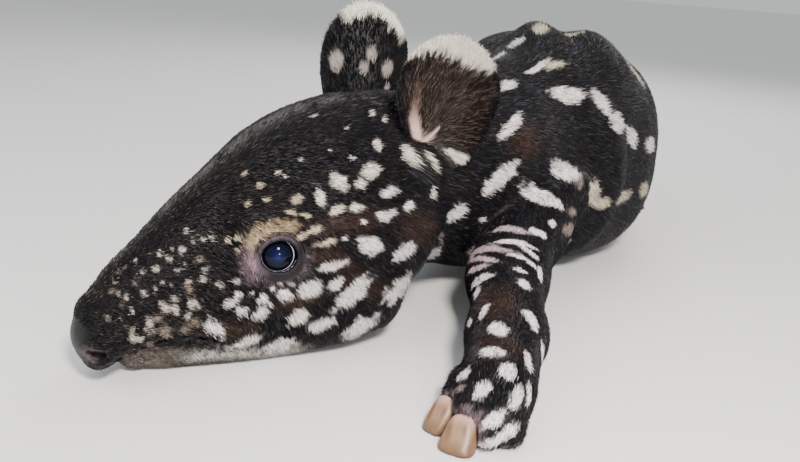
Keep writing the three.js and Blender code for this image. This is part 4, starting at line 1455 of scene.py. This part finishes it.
def hidden_marks(tree, draw):
    """Rows of dashes and spots, as the species has them, where the photograph doesn't look."""
    marks = []
    back = np.array([0, 1.0, 0])
    for row, angle in enumerate(np.radians(TRUNK_ROWS)):
        y = TRUNK_FROM + TRUNK_ROW_SHIFT * (row % 2)
        while y < TRUNK_TO:
            length, width = draw.uniform(20, 44), draw.uniform(9, 15)
            spread = 1 - 0.25 * smooth(y, 850, 940)
            out, up = (radius * spread for radius in TRUNK_ROW_RADII)
            target = [TRUNK_MIDDLE + out * np.cos(angle), y, TRUNK_ROW_MIDDLE + up * np.sin(angle)]
            marks.append(laid_mark(tree, target, back + draw.normal(size=3) * 0.15, length, width))
            y += length + draw.uniform(12, 22)
    across, along_y = NECK_ALONG
    for angle in np.radians(NECK_ROWS):
        for step in NECK_STEPS:
            spine = np.array(NECK[0][:3]) * (1 - step) + np.array(NECK[2][:3]) * step
            ring = np.array([-along_y * np.cos(angle), across * np.cos(angle), np.sin(angle)])
            target = spine + ring * NECK_ROW_RADIUS
            way = np.array([across, along_y, 0]) + draw.normal(size=3) * 0.2
            marks.append(laid_mark(tree, target, way, draw.uniform(18, 30), draw.uniform(8, 12)))
    legs = [(FORELEG_RIGHT, 5), (FORELEG_LEFT, 5)]
    legs += [(leg[part], 4) for leg in HIND_LEGS.values() for part in ("shank", "foot")]
    for points, around in legs:
        points = np.array(points, float)
        for a, b in zip(points[:-1], points[1:]):
            way = unit(b[:3] - a[:3])
            side = unit(np.cross(way, [0, 0, 1.0]))
            for step in LEG_STEPS:
                middle = a + (b - a) * step
                for n in range(around):
                    angle = 2 * np.pi * (n + draw.uniform(-0.2, 0.2)) / around
                    ring = side * np.cos(angle) + np.cross(side, way) * np.sin(angle)
                    target = middle[:3] + ring * middle[3]
                    size = draw.uniform(9, 15)
                    marks.append(laid_mark(tree, target, way, size * 1.3, size * 0.8))
    return [mark for mark in marks if mark is not None]


def build_marks(tree):
    """All patches as (frame, colour, (start and end of the soft edge, its roughness))."""
    draw = np.random.default_rng(SEED + 1)
    marks = []
    for rows, colour, edge in MARK_GROUPS:
        for row in rows:
            mark = seen_mark(tree, row)
            if mark is None:
                continue
            marks.append((mark, colour, edge))
            twin = None if rows in ONE_SIDED else mirrored_head_mark(mark, draw)
            if twin is not None:
                marks.append((twin, colour, edge))
    for mark in hidden_marks(tree, draw):
        marks.append((mark, SPOT_WHITE, HIDDEN_EDGE))
    return marks


def round_eye_colours(P, eye, tint):
    """Lids with their dark edges, the bare lilac patch before the eye and the cream brow."""
    ahead, across, up = around_eye(P, eye)
    rho = np.hypot(across, up)
    turn = np.degrees(np.arctan2(up, across))
    front = ahead > -8
    rough = waves(P, 4, 33)
    # Bare patch before the eye, pink near the corner, and a paler band below the lower lid
    patch = np.hypot((across - 15.5) / 7.5, (up + 3) / 14) + 0.18 * rough
    mottle = clamp(0.8 + 0.5 * waves(P, 2.2, 40))
    tint(EYE_PATCH, 0.75 * mottle * (1 - smooth(patch, 0.55, 1.1)) * front)
    pink = np.hypot((across - 14.5) / 4.5, (up + 2) / 6) + 0.2 * rough
    tint(EYE_PINK, 0.65 * (1 - smooth(pink, 0.3, 1.2)) * front)
    below = bump(rho, 16.5, 2.4) * smooth(-up - 0.4 * across, 0, 8)
    tint(EYE_PATCH, 0.6 * below * clamp(0.55 + 0.5 * waves(P, 2.4, 35)) * front)
    # Cream brow over the front of the upper lid
    brow = smooth(rho, 13.4, 14.8) * (1 - smooth(rho + 1.2 * rough, 19.5, 23))
    brow *= smooth(turn, 8, 34) * (1 - smooth(turn, 112, 130)) * front
    tint(BROW_CREAM, brow * clamp(0.75 + 0.5 * waves(P, 2.0, 39)))
    # Lids, dark behind and below and at their edge, with a dark line along their fold that is partly dark
    # hair and partly painted shade of the fold
    tint(LID_LILAC, 0.95 * (1 - smooth(rho, 13.0, 14.6)) * front)
    behind_low = smooth(-0.7 * across - 0.7 * up, -1, 6)
    tint(LID_DARK, 0.9 * behind_low * (1 - smooth(rho, 14.0, 16.2)) * front)
    # Dark line along the fold: partly dark hair, partly painted shade of the fold
    tint(LID_DARK, 0.95 * bump(rho, 12.7, 0.8) * smooth(up, -1, 4) * front)
    tint(LID_DARK, (1 - smooth(rho, 10.4, 11.5)) * front)


DARKEST = 0.003


def coat_colours(P):
    """Colour of skin and coat at each place: black and brown, the patches, then bare skin."""
    H = to_head(P)
    brown = clamp(0.3 + 0.3 * waves(P, 34, 31) + 0.35 * waves(P, 6, 32))
    colour = COAT_BLACK + (COAT_BROWN - COAT_BLACK) * (0.16 * brown)[:, None]

    def tint(target, cover):
        nonlocal colour
        colour = tinted(colour, target, cover)

    for mark, target, edge in MARKS:
        tint(target, mark_cover(P, mark, *edge))
    behind, side, z = H[:, 0], np.abs(H[:, 1]), H[:, 2]
    on_head = (behind < 150) & (side < 80)
    # Pale edge of the jaw, in strokes
    strokes = waves(np.column_stack([behind - 0.5 * z, 0 * side, 0.2 * z]), 2.6, 36)
    edge_at = 9.5 - 3.5 * smooth(behind, 72, 100) + 2.0 * strokes
    jaw = bump(z, edge_at, 4.4) * smooth(behind, 46, 60)
    jaw *= 1 - smooth(behind, 108, 128)
    tint(JAW_PALE, clamp(0.85 + 0.6 * strokes) * jaw * (side > 14) * on_head)
    # Lower lip, nose and nostrils
    lip = smooth(behind, 18, 26) * (1 - smooth(behind, 44, 58)) * (1 - smooth(z, 15, 21)) * on_head
    tint(LIP_BROWN, 0.9 * lip)
    tint(SPOT_TAN, 0.6 * lip * smooth(waves(P, 2.2, 37), 0.3, 0.9))
    tint(NOSE_DARK, 0.9 * (1 - smooth(behind, 3, 12)) * on_head)
    # Painted highlight: a grey-pink patch on the wet nose before the nostril
    nostril = np.column_stack([behind - 3, side - 13, z - 21]) / [6, 5, 4.5]
    level = np.linalg.norm(nostril, axis=1) + 0.3 * waves(P, 4, 33)
    tint(NOSE_PAINTED_HIGHLIGHT, 0.75 * (1 - smooth(level, 0.5, 1.4)) * on_head)
    for eye in EYES.values():
        round_eye_colours(P, eye, tint)
    # Bare skin round the hooves
    feet = 1 - smooth(horn_form(P) + 1.2 * waves(P, 5, 34), 0.5, 3.2)
    tint(EYE_PATCH, 0.5 * feet)
    tint(FOOT_PINK, 0.2 * feet * smooth(waves(P, 4, 38), 0.2, 0.9))
    return np.maximum(colour, DARKEST)


# Lie of the coat: the way that hair points at each place

def limb_way(P, points):
    """Distance to a limb, and its direction towards its end, at each place."""
    best = np.full(len(P), FAR_OFF)
    way = np.zeros_like(P)
    for a, b in zip(points[:-1], points[1:]):
        away, reach = rod(P, a, b)
        nearer = away < best
        best = np.where(nearer, away, best)
        way[nearer] = unit(reach)
    return best, way


def laid_flat(ways, normals):
    """Directions brought into the surface."""
    return unit(ways - (ways * normals).sum(1)[:, None] * normals)


def hair_way(P, N):
    """Back over the head and down its cheeks, along the neck and trunk, and down each limb."""
    H = to_head(P)
    behind, side, z = H.T
    on_head = (1 - smooth(behind, 185, 250)) * (1 - smooth(np.abs(side), 80, 110))
    cheek = smooth(behind, 50, 90) * (1 - smooth(z, 50, 125))
    down = -0.15 - 1.0 * cheek - 1.6 * (1 - smooth(z, 12, 45)) * smooth(behind, 30, 90)
    head = np.array([*(-FORWARD), 0]) + down[:, None] * np.array([0, 0, 1.0])
    past = smooth(P[:, 1], 560, 640)[:, None]
    body = np.array([*NECK_ALONG, 0.0]) * (1 - past) + np.array([0, 1.0, 0]) * past
    body = body + (-0.35 - 0.35 * smooth(P[:, 1], 560, 700))[:, None] * np.array([0, 0, 1.0])
    way = head * on_head[:, None] + body * (1 - on_head)[:, None]
    core = blend(blend(head_form(P), neck_form(P), 16), trunk_form(P), 18)
    legs = [FORELEG_LEFT, FORELEG_RIGHT, TAIL]
    for leg in HIND_LEGS.values():
        legs += [leg["shank"], leg["foot"]]
    nearest = np.full(len(P), FAR_OFF)
    leg_way = np.zeros_like(P)
    for points in legs:
        away, toward = limb_way(P, points)
        nearer = away < nearest
        nearest = np.where(nearer, away, nearest)
        leg_way[nearer] = toward[nearer]
    on_leg = smooth(core - nearest, -4, 12)[:, None]
    way = unit(way) * (1 - on_leg) + (leg_way + [0, 0, -0.25]) * on_leg
    for eye in EYES.values():
        ahead, across, up = around_eye(P, eye)
        rho = np.hypot(across, up)
        outward = unit(across[:, None] * eye["across"] + up[:, None] * eye["up"])
        round_eye = ((1 - smooth(rho, 13, 24)) * (ahead > -6))[:, None]
        way = way * (1 - 0.75 * round_eye) + 0.75 * round_eye * (outward * 0.6 + way * 0.6)
    lock = 0.16 * waves(P, 5, 51) + 0.14 * waves(P, 17, 52)
    way = laid_flat(way, N)
    return unit(way + lock[:, None] * np.cross(N, way))


# Coat: many thin closed tufts, each with its root in the skin

TUFT_BACK = (0.3, 0.18)     # its back's height, as a share of the width, and place on the length


def spikes(roots, normals, ways, length, width, lift, sink):
    """Straight closed tufts of four triangles each, sunk a little into the skin."""
    side = np.cross(normals, ways)
    low = roots - normals * sink
    left = low + side * (width / 2)[:, None]
    right = low - side * (width / 2)[:, None]
    high, on = TUFT_BACK
    top = roots + normals * (high * width)[:, None] + ways * (on * length)[:, None]
    tip = roots + ways * length[:, None] + normals * lift[:, None]
    points = np.stack([left, right, top, tip], 1)
    faces = np.array([[0, 1, 2], [0, 2, 3], [2, 1, 3], [1, 0, 3]])
    return points, faces


OFBAKE_PATCH = 0.003     # size of a tuft on the map of the surface


def add_tufts(name, shape, colours, root_uv, shade):
    """A coat piece: points and faces of its tufts, their colours from root to tip, and their map."""
    points, faces = shape
    count, corners = points.shape[:2]
    every = (faces[None] + corners * np.arange(count)[:, None, None]).reshape(-1, 3)
    flat = points.reshape(-1, 3)
    flat[:, 2] = np.maximum(flat[:, 2], FLOOR_CLEARANCE)
    piece = make_mesh(name, flat, every, FUR, (), smooth_faces=False)
    tone = colours[:, None, :] * np.asarray(shade)[None, :, None]
    set_colours(piece.data, tone.reshape(-1, 3))
    turn = np.arange(corners) * 2 * np.pi / corners
    patch = OFBAKE_PATCH / 2 * np.column_stack([np.cos(turn), np.sin(turn)])
    place = root_uv[:, None, :] + patch[None]
    layer = piece.data.uv_layers.new(name="OFBake")
    layer.data.foreach_set("uv", place.reshape(-1, 2)[every.ravel()].astype(np.float32).ravel())
    return piece


def skin_samples(density, draw):
    """Random roots over the skin: places, normals and map places, as dense as the rule says."""
    mesh = skin.data
    mesh.calc_loop_triangles()
    count = len(mesh.loop_triangles)
    corner = np.empty(count * 3, np.int32)
    mesh.loop_triangles.foreach_get("vertices", corner)
    loops = np.empty(count * 3, np.int32)
    mesh.loop_triangles.foreach_get("loops", loops)
    uv = np.empty(len(mesh.loops) * 2, np.float32)
    mesh.uv_layers["OFBake"].data.foreach_get("uv", uv)
    corner, loops, uv = corner.reshape(-1, 3), loops.reshape(-1, 3), uv.reshape(-1, 2)
    a, b, c = (skin_points[corner[:, n]] for n in range(3))
    area = np.linalg.norm(np.cross(b - a, c - a), axis=1) / 2
    expected = area * density((a + b + c) / 3)
    number = (expected + draw.uniform(size=count)).astype(int)
    pick = np.repeat(np.arange(count), number)
    r, s = np.sqrt(draw.uniform(size=len(pick))), draw.uniform(size=len(pick))
    weight = np.column_stack([1 - r, r * (1 - s), r * s])
    place = np.einsum("nk,nkd->nd", weight, np.stack([a[pick], b[pick], c[pick]], 1))
    normal = unit(np.einsum("nk,nkd->nd", weight, skin_normals[corner[pick]]))
    return place, normal, np.einsum("nk,nkd->nd", weight, uv[loops[pick]])


BALD_MOUTH = 1.8         # up and down from the mouth's line
BALD_ROUND_EYE = 13.7    # from the line of sight
BALD_ROUND_HOOF = 0.8
BALD_BELOW = 1.2


def bald(P):
    """1 where no hair grows: nose tip, nostrils, mouth, lids and under the body."""
    H = to_head(P)
    behind, side, z = H[:, 0], np.abs(H[:, 1]), H[:, 2]
    line = np.interp(behind, MOUTH_LINE[:, 0], MOUTH_LINE[:, 1])
    on_head = behind < 120
    bare = (1 - smooth(behind, 2, 8)) * (z < 36)
    nostril = np.hypot(side - NOSTRIL_AT[1], z - NOSTRIL_AT[2])
    bare = np.maximum(bare, bump(nostril, 0, 6) * (behind < 18))
    bare = np.maximum(bare, (np.abs(z - line) < BALD_MOUTH) * (behind > 14) * (behind < 80))
    bare = bare * on_head
    for eye in EYES.values():
        ahead, across, up = around_eye(P, eye)
        bare = np.maximum(bare, (np.hypot(across, up) < BALD_ROUND_EYE) * (ahead > 0))
    bare = np.maximum(bare, horn_form(P) < BALD_ROUND_HOOF)
    return np.maximum(bare, P[:, 2] < BALD_BELOW)


# Tufts on a square mm
FACE_DENSITY = 1.2
SNOUT_DENSITY = 2.0
LEG_DENSITY = 0.8
BODY_DENSITY = 0.62


def head_share(P):
    """1 on the head, falling to 0 behind its cheeks and beside it."""
    H = to_head(P)
    return (1 - smooth(H[:, 0], 165, 205)) * (1 - smooth(np.abs(H[:, 1]), 76, 92))


def fine_share(P):
    """1 where the coat is fine: head, lower legs and feet. 0 on neck and trunk."""
    H = to_head(P)
    head = head_share(P)
    trunk = np.minimum(trunk_form(P), neck_form(P))
    leg = smooth(trunk, 4, 14) * smooth(H[:, 0], 150, 205)
    return np.maximum(head, leg)


def coat_density(P):
    """Tufts on a square mm at each place."""
    H = to_head(P)
    snout = 1 - smooth(H[:, 0], 45, 90)
    face = FACE_DENSITY + (SNOUT_DENSITY - FACE_DENSITY) * snout
    fine = LEG_DENSITY + (face - LEG_DENSITY) * head_share(P)
    return (BODY_DENSITY + (fine - BODY_DENSITY) * fine_share(P)) * (1 - bald(P))


# Painted glints: some dark tufts get a pale colour that stands in for highlights on the hair
PAINTED_GLINT_SHARE = 0.12       # share of the dark tufts that glint
DARK_SHARE = 0.15        # share of the pale tufts that are dark


def hair_tone(P, draw):
    """Colour of each tuft: that of the skin below its middle, with chance in it and some painted glints.
    """
    behind = to_head(P)[:, 0]
    head = head_share(P)
    stray = 0.4 + 0.7 * (1 - smooth(behind, 70, 110)) * head
    colour = coat_colours(P + draw.normal(size=P.shape) * stray[:, None])
    count = len(P)
    pale = smooth(colour.mean(1), 0.05, 0.3)
    uneven = np.exp(draw.normal(size=count) * 0.5) * (1 - pale)
    uneven = uneven + draw.uniform(0.55, 1.06, count) * pale
    colour = colour * uneven[:, None]
    # Painted highlight on some dark tufts: cool grey on the body, tan on the snout
    warm = head * (1 - smooth(behind, 70, 130))
    painted_glint = PAINTED_GLINT_BODY + (PAINTED_GLINT_HEAD - PAINTED_GLINT_BODY) * warm[:, None]
    share = (draw.uniform(size=count) < PAINTED_GLINT_SHARE) * draw.uniform(0.05, 0.6, count) * (1 - pale)
    colour = tinted(colour, painted_glint, share)
    dark = (draw.uniform(size=count) < DARK_SHARE) * draw.uniform(0.3, 0.9, count) * pale
    return tinted(colour, COAT_BROWN, dark)


# Dark tufts over the upper lid: partly dark hair, partly painted shade of its fold
CREASE_FROM, CREASE_TO = 22, 168     # degrees round the eye, of the dark fold over the upper lid
CREASE_AWAY = 14.1                   # from the eye's middle
CREASE_HAIRS = 150
CREASE_LENGTH, CREASE_WIDTH, CREASE_LIFT, CREASE_SINK = 2.4, 0.75, 0.35, 0.4


def crease(eye, draw):
    """Short dark hairs end to end along the fold over the upper lid, whose darkness is partly the hair's
    own and partly painted shade of the fold.
    """
    turn = np.radians(np.linspace(CREASE_FROM, CREASE_TO, CREASE_HAIRS))
    away = CREASE_AWAY + 0.12 * draw.normal(size=CREASE_HAIRS)
    roots, normals, ways = [], [], []
    for angle, far in zip(turn, away):
        outward = np.cos(angle) * eye["across"] + np.sin(angle) * eye["up"]
        start = eye["centre"] + far * outward + 30 * eye["sight"]
        hit, normal, _, _ = SKIN_TREE.ray_cast(Vector(start), Vector(-eye["sight"]))
        normal = unit(np.array(normal))
        way = -np.sin(angle) * eye["across"] + np.cos(angle) * eye["up"]
        roots.append(np.array(hit))
        normals.append(normal)
        ways.append(unit(way - (way @ normal) * normal))
    return np.array(roots), np.array(normals), np.array(ways)


TUFTS_IN_PIECE = 48000
TUFT_SINK = 0.5
TUFT_STRAY = 0.13
TUFT_SHADE = (0.55, 0.55, 0.85, 1.2)     # from its two corners in the skin to its back and tip
EVEN_SHADE = (1, 1, 1, 1)

EAR_FOOT = (192, 50, 118)       # middle of the long pale tufts below the left ear
HANGING = np.array([0.68, -0.25, -0.69])


def build_coat():
    """The short fur of head, trunk and legs, and the dark hairs along the fold over each upper lid, partly
    painted shade of that fold.
    """
    draw = np.random.default_rng(SEED + 2)
    P, N, uv = skin_samples(coat_density, draw)
    head = head_share(P)
    fine = fine_share(P)
    snout = (1 - smooth(to_head(P)[:, 0], 35, 100)) * head
    ways = hair_way(P, N)
    ways = unit(ways + draw.normal(size=P.shape) * TUFT_STRAY)
    ways = laid_flat(ways, N)
    # Size and lift in mm on the trunk, less where the coat is fine
    length = 5.6 - 2.0 * fine + 0.7 * head - 2.0 * snout
    length = length * draw.uniform(0.7, 1.25, len(P))
    width = (0.92 - 0.22 * fine - 0.2 * snout) * draw.uniform(0.75, 1.25, len(P))
    lift = (1.15 - 0.35 * fine - 0.3 * snout) * draw.uniform(0.3, 1.8, len(P))
    foot = 1 - smooth(horn_form(P), 4, 26)
    length *= 1 - 0.4 * foot
    width *= 1 - 0.25 * foot
    base = from_head(*EAR_FOOT)
    by_ear = 1 - smooth(np.linalg.norm(P - base, axis=1), 9, 17)
    length *= 1 + 1.1 * by_ear
    lift *= 1 + 0.8 * by_ear
    ways = unit(ways + 2 * by_ear[:, None] * HANGING)
    ways = laid_flat(ways, N)
    tone = hair_tone(P + ways * (0.45 * length)[:, None], draw)
    pieces = int(np.ceil(len(P) / TUFTS_IN_PIECE))
    for k in range(pieces):
        own = slice(k, None, pieces)
        shape = spikes(P[own], N[own], ways[own], length[own], width[own], lift[own], TUFT_SINK)
        add_tufts(f"coat_{k + 1}", shape, tone[own], uv[own], TUFT_SHADE)
    for name, eye in EYES.items():
        roots, normals, ways = crease(eye, draw)
        close = np.flatnonzero(np.linalg.norm(P - eye["centre"], axis=1) < 26)
        gaps = np.linalg.norm(roots[:, None] - P[close][None], axis=2)
        beside = close[gaps.argmin(axis=1)]
        sizes = [size * np.ones(CREASE_HAIRS) for size in (CREASE_LENGTH, CREASE_WIDTH, CREASE_LIFT)]
        shape = spikes(roots, normals, ways, *sizes, CREASE_SINK)
        # Near black: dark hair and painted shade of the lid's fold
        dark = np.tile(LID_DARK * 0.5, (CREASE_HAIRS, 1))
        add_tufts(f"lid_fold_hair_and_shade_{name}", shape, dark, uv[beside], EVEN_SHADE)
    return len(P)


# Hair of an ear's two faces: how many, side of the leaf, length, share lost at the rim, width, lift
EAR_HAIR = {
    "inside": (9000, 1, 6.6, 0.45, 0.55, 1.3),
    "outside": (6000, -1, 4.6, 0.7, 0.6, 0.7),
}
EAR_HAIR_SINK = 0.4
EAR_HAIR_SHADE = (0.7, 0.7, 0.9, 1.2)
EAR_PAINTED_GLINT_SHARE = 0.22

# Map of the ears' hair: four discs, with the middle of the first, their radius and the step
EAR_MAP_MIDDLE, EAR_MAP_RADIUS, EAR_MAP_STEP = 0.27, 0.22, 0.46


def build_ear_coat(name, ear):
    """Hair of one ear: long inside, spreading from the bottom of its opening, and short outside."""
    draw = np.random.default_rng(SEED + 4)
    left = name == "left"
    for where, (count, outward, long, rim_loss, wide, high) in EAR_HAIR.items():
        inside = outward > 0
        radius = np.sqrt(draw.uniform(0.0, 0.985, count))
        turn = draw.uniform(0, 2 * np.pi, count)
        u, v = radius * np.cos(turn), radius * np.sin(turn)
        if inside:
            ridge = to_line(u, v, EAR_RIDGE) / ridge_width(v) + 3 * smooth(v, -0.1, 0.2)
            flap = to_line(u, v, EAR_FLAP) / 0.06
            bare = np.minimum(ridge, flap) < draw.uniform(0.7, 1.1, count)
            u, v = u[~bare], v[~bare]
        face = outward * np.sqrt(np.maximum(1 - u**2 - v**2, 0)) ** EAR_ROUNDNESS
        relief = ear_relief(u, v, inside)
        roots = ear_place(ear, u, v, face, relief)
        step = 0.01
        over_u = ear_place(ear, u + step, v, face, relief) - roots
        over_v = ear_place(ear, u, v + step, face, relief) - roots
        normals = unit(np.cross(over_u, over_v)) * outward
        if (normals @ ear_axes(ear)[4]).mean() * outward < 0:
            normals = -normals
        if inside:
            spread_u, spread_v = u - HAIR_CENTRE[0], v - HAIR_CENTRE[1]
        else:
            spread_u, spread_v = 0.5 * u, 1 + 0 * v
        ways = unit(over_u / step * spread_u[:, None] + over_v / step * spread_v[:, None])
        P = np.column_stack([u, v, 0 * u]) * EAR_PATTERN
        ways = unit(ways + (0.2 * waves(P, 4, 61))[:, None] * np.cross(normals, ways))
        ways = unit(ways + draw.normal(size=roots.shape) * 0.12)
        ways = laid_flat(ways, normals)
        rim = np.hypot(u, v)
        length = long * draw.uniform(0.6, 1.2, len(u))
        length *= 1 - rim_loss * smooth(rim, 0.8, 1)
        width = wide * draw.uniform(0.8, 1.2, len(u))
        lift = high * draw.uniform(0.4, 1.4, len(u))
        tone = ear_colour(u, v, np.full(len(u), float(inside)), left)
        pale = tone.mean(1) > 0.2
        light = draw.uniform(0.5, 1.5, len(u))
        tone = tone * np.where(pale, draw.uniform(0.7, 1.06, len(u)), light)[:, None]
        # Painted highlight: glints on the dark inner hair, fewer towards the rim
        painted_glint = (draw.uniform(size=len(u)) < EAR_PAINTED_GLINT_SHARE) * draw.uniform(0.2, 1, len(u))
        painted_glint = painted_glint * ~pale * inside
        painted_glint = painted_glint * (1 - 0.7 * smooth(rim, 0.75, 0.95))
        tone = tinted(tone, EAR_PAINTED_GLINT, painted_glint)
        shape = spikes(roots, normals, ways, length, width, lift, EAR_HAIR_SINK)
        uv = np.column_stack([
            EAR_MAP_MIDDLE + EAR_MAP_RADIUS * u + EAR_MAP_STEP * (not inside),
            EAR_MAP_MIDDLE + EAR_MAP_RADIUS * v + EAR_MAP_STEP * (not left),
        ])
        add_tufts(f"ear_hair_{where}_{name}", shape, tone, uv, EAR_HAIR_SHADE)


# Build: the skin with its patches first, because everything else is set on it

# For each axis: where the skin's cells start and end, and the spans with finer ones
SKIN_SPANS = [
    (-182.0, 266.0, [(-182, 100, CELL_HEAD), (-140, -40, CELL_EYES)]),
    (296.0, 966.0, [(296, 520, CELL_HEAD), (350, 462, CELL_EYES)]),
    (-3.0, 208.0, [(0, 160, CELL_HIGH), (50, 96, CELL_EYES)]),
]


def unwrap(piece):
    """A map of the piece's own surface, flat patch by flat patch."""
    piece.data.uv_layers.new(name="OFBake")
    bpy.ops.object.select_all(action="DESELECT")
    bpy.context.view_layer.objects.active = piece
    piece.select_set(True)
    bpy.ops.object.mode_set(mode="EDIT")
    bpy.ops.mesh.select_all(action="SELECT")
    bpy.ops.uv.smart_project(angle_limit=np.radians(66), island_margin=0.002)
    bpy.ops.object.mode_set(mode="OBJECT")
    piece.select_set(False)


skin_points, skin_faces = surface(skin_form, [graded(*span) for span in SKIN_SPANS])
FLESH = ["head", "lower_jaw", "neck", "chest", "belly", "rump", "tail"]
for side in ("left", "right"):
    FLESH += [f"{n}_{side}" for n in ("thigh", "shank", "hindfoot", "forefoot")]
    FLESH += [f"{n}_foreleg_{side}" for n in ("upper", "lower")]
skin = make_mesh("skin", skin_points, skin_faces, SKIN, FLESH)
unwrap(skin)
skin_normals = np.empty(len(skin_points) * 3, np.float32)
skin.data.vertices.foreach_get("normal", skin_normals)
skin_normals = skin_normals.reshape(-1, 3).astype(float)
SKIN_TREE = BVHTree.FromPolygons(skin_points.tolist(), skin_faces.tolist())
MARKS = build_marks(SKIN_TREE)
set_colours(skin.data, coat_colours(skin_points))
build_eyes()
build_ears()
build_hooves()
tuft_count = build_coat()
for name, ear in EARS.items():
    build_ear_coat(name, ear)
print("skin", len(skin_faces), "tufts", tuft_count, "marks", len(MARKS))


# Floor and light: a pale floor, an even sky and soft lamps

FLOOR_HALF = 60.0        # in metres
SKY_STRENGTH = 0.78

# Lamps: name, place and target in mm, size in metres, power and colour
LAMPS = [
    ("key", (160, -120, 620), (0, 480, 80), 0.14, 11.5, "#fff8f0"),
    ("fill", (-900, 100, 900), (0, 550, 60), 1.2, 7, "#eef2ff"),
    ("back", (500, 1700, 1300), (60, 650, 80), 1.2, 17, "#ffffff"),
    ("eye_light", (140, -20, 170), (-68, 390, 69), 0.06, 0.6, "#ffffff"),
]


def make_stage():
    # Matt pale paper: no gloss, so the figure's shadow stays soft
    paper = new_material("pale_floor", {"Base Color": rgba("#ececea"), "Roughness": 0.9})
    mesh = bpy.data.meshes.new("floor")
    corners = [(x * FLOOR_HALF, y * FLOOR_HALF, 0) for x, y in ((-1, -1), (1, -1), (1, 1), (-1, 1))]
    mesh.from_pydata(corners, [], [(0, 1, 2, 3)])
    mesh.materials.append(paper)
    floor = bpy.data.objects.new("floor", mesh)
    bpy.context.scene.collection.objects.link(floor)
    world = bpy.data.worlds.new("studio")
    bpy.context.scene.world = world
    world.use_nodes = True
    sky = world.node_tree.nodes["Background"]
    sky.inputs["Color"].default_value = rgba("#e4e6e8")
    sky.inputs["Strength"].default_value = SKY_STRENGTH


def add_light(name, place, target, size, power, colour):
    data = bpy.data.lights.new(name, "AREA")
    data.size = size
    data.energy = power
    data.color = linear(colour)
    light = bpy.data.objects.new(name, data)
    light.location = placed(np.array(place, float))
    way = Vector(placed(np.array(target, float))) - light.location
    light.rotation_mode = "QUATERNION"
    light.rotation_quaternion = way.to_track_quat("-Z", "Y")
    bpy.context.scene.collection.objects.link(light)


make_stage()
for lamp in LAMPS:
    add_light(*lamp)
make_camera()
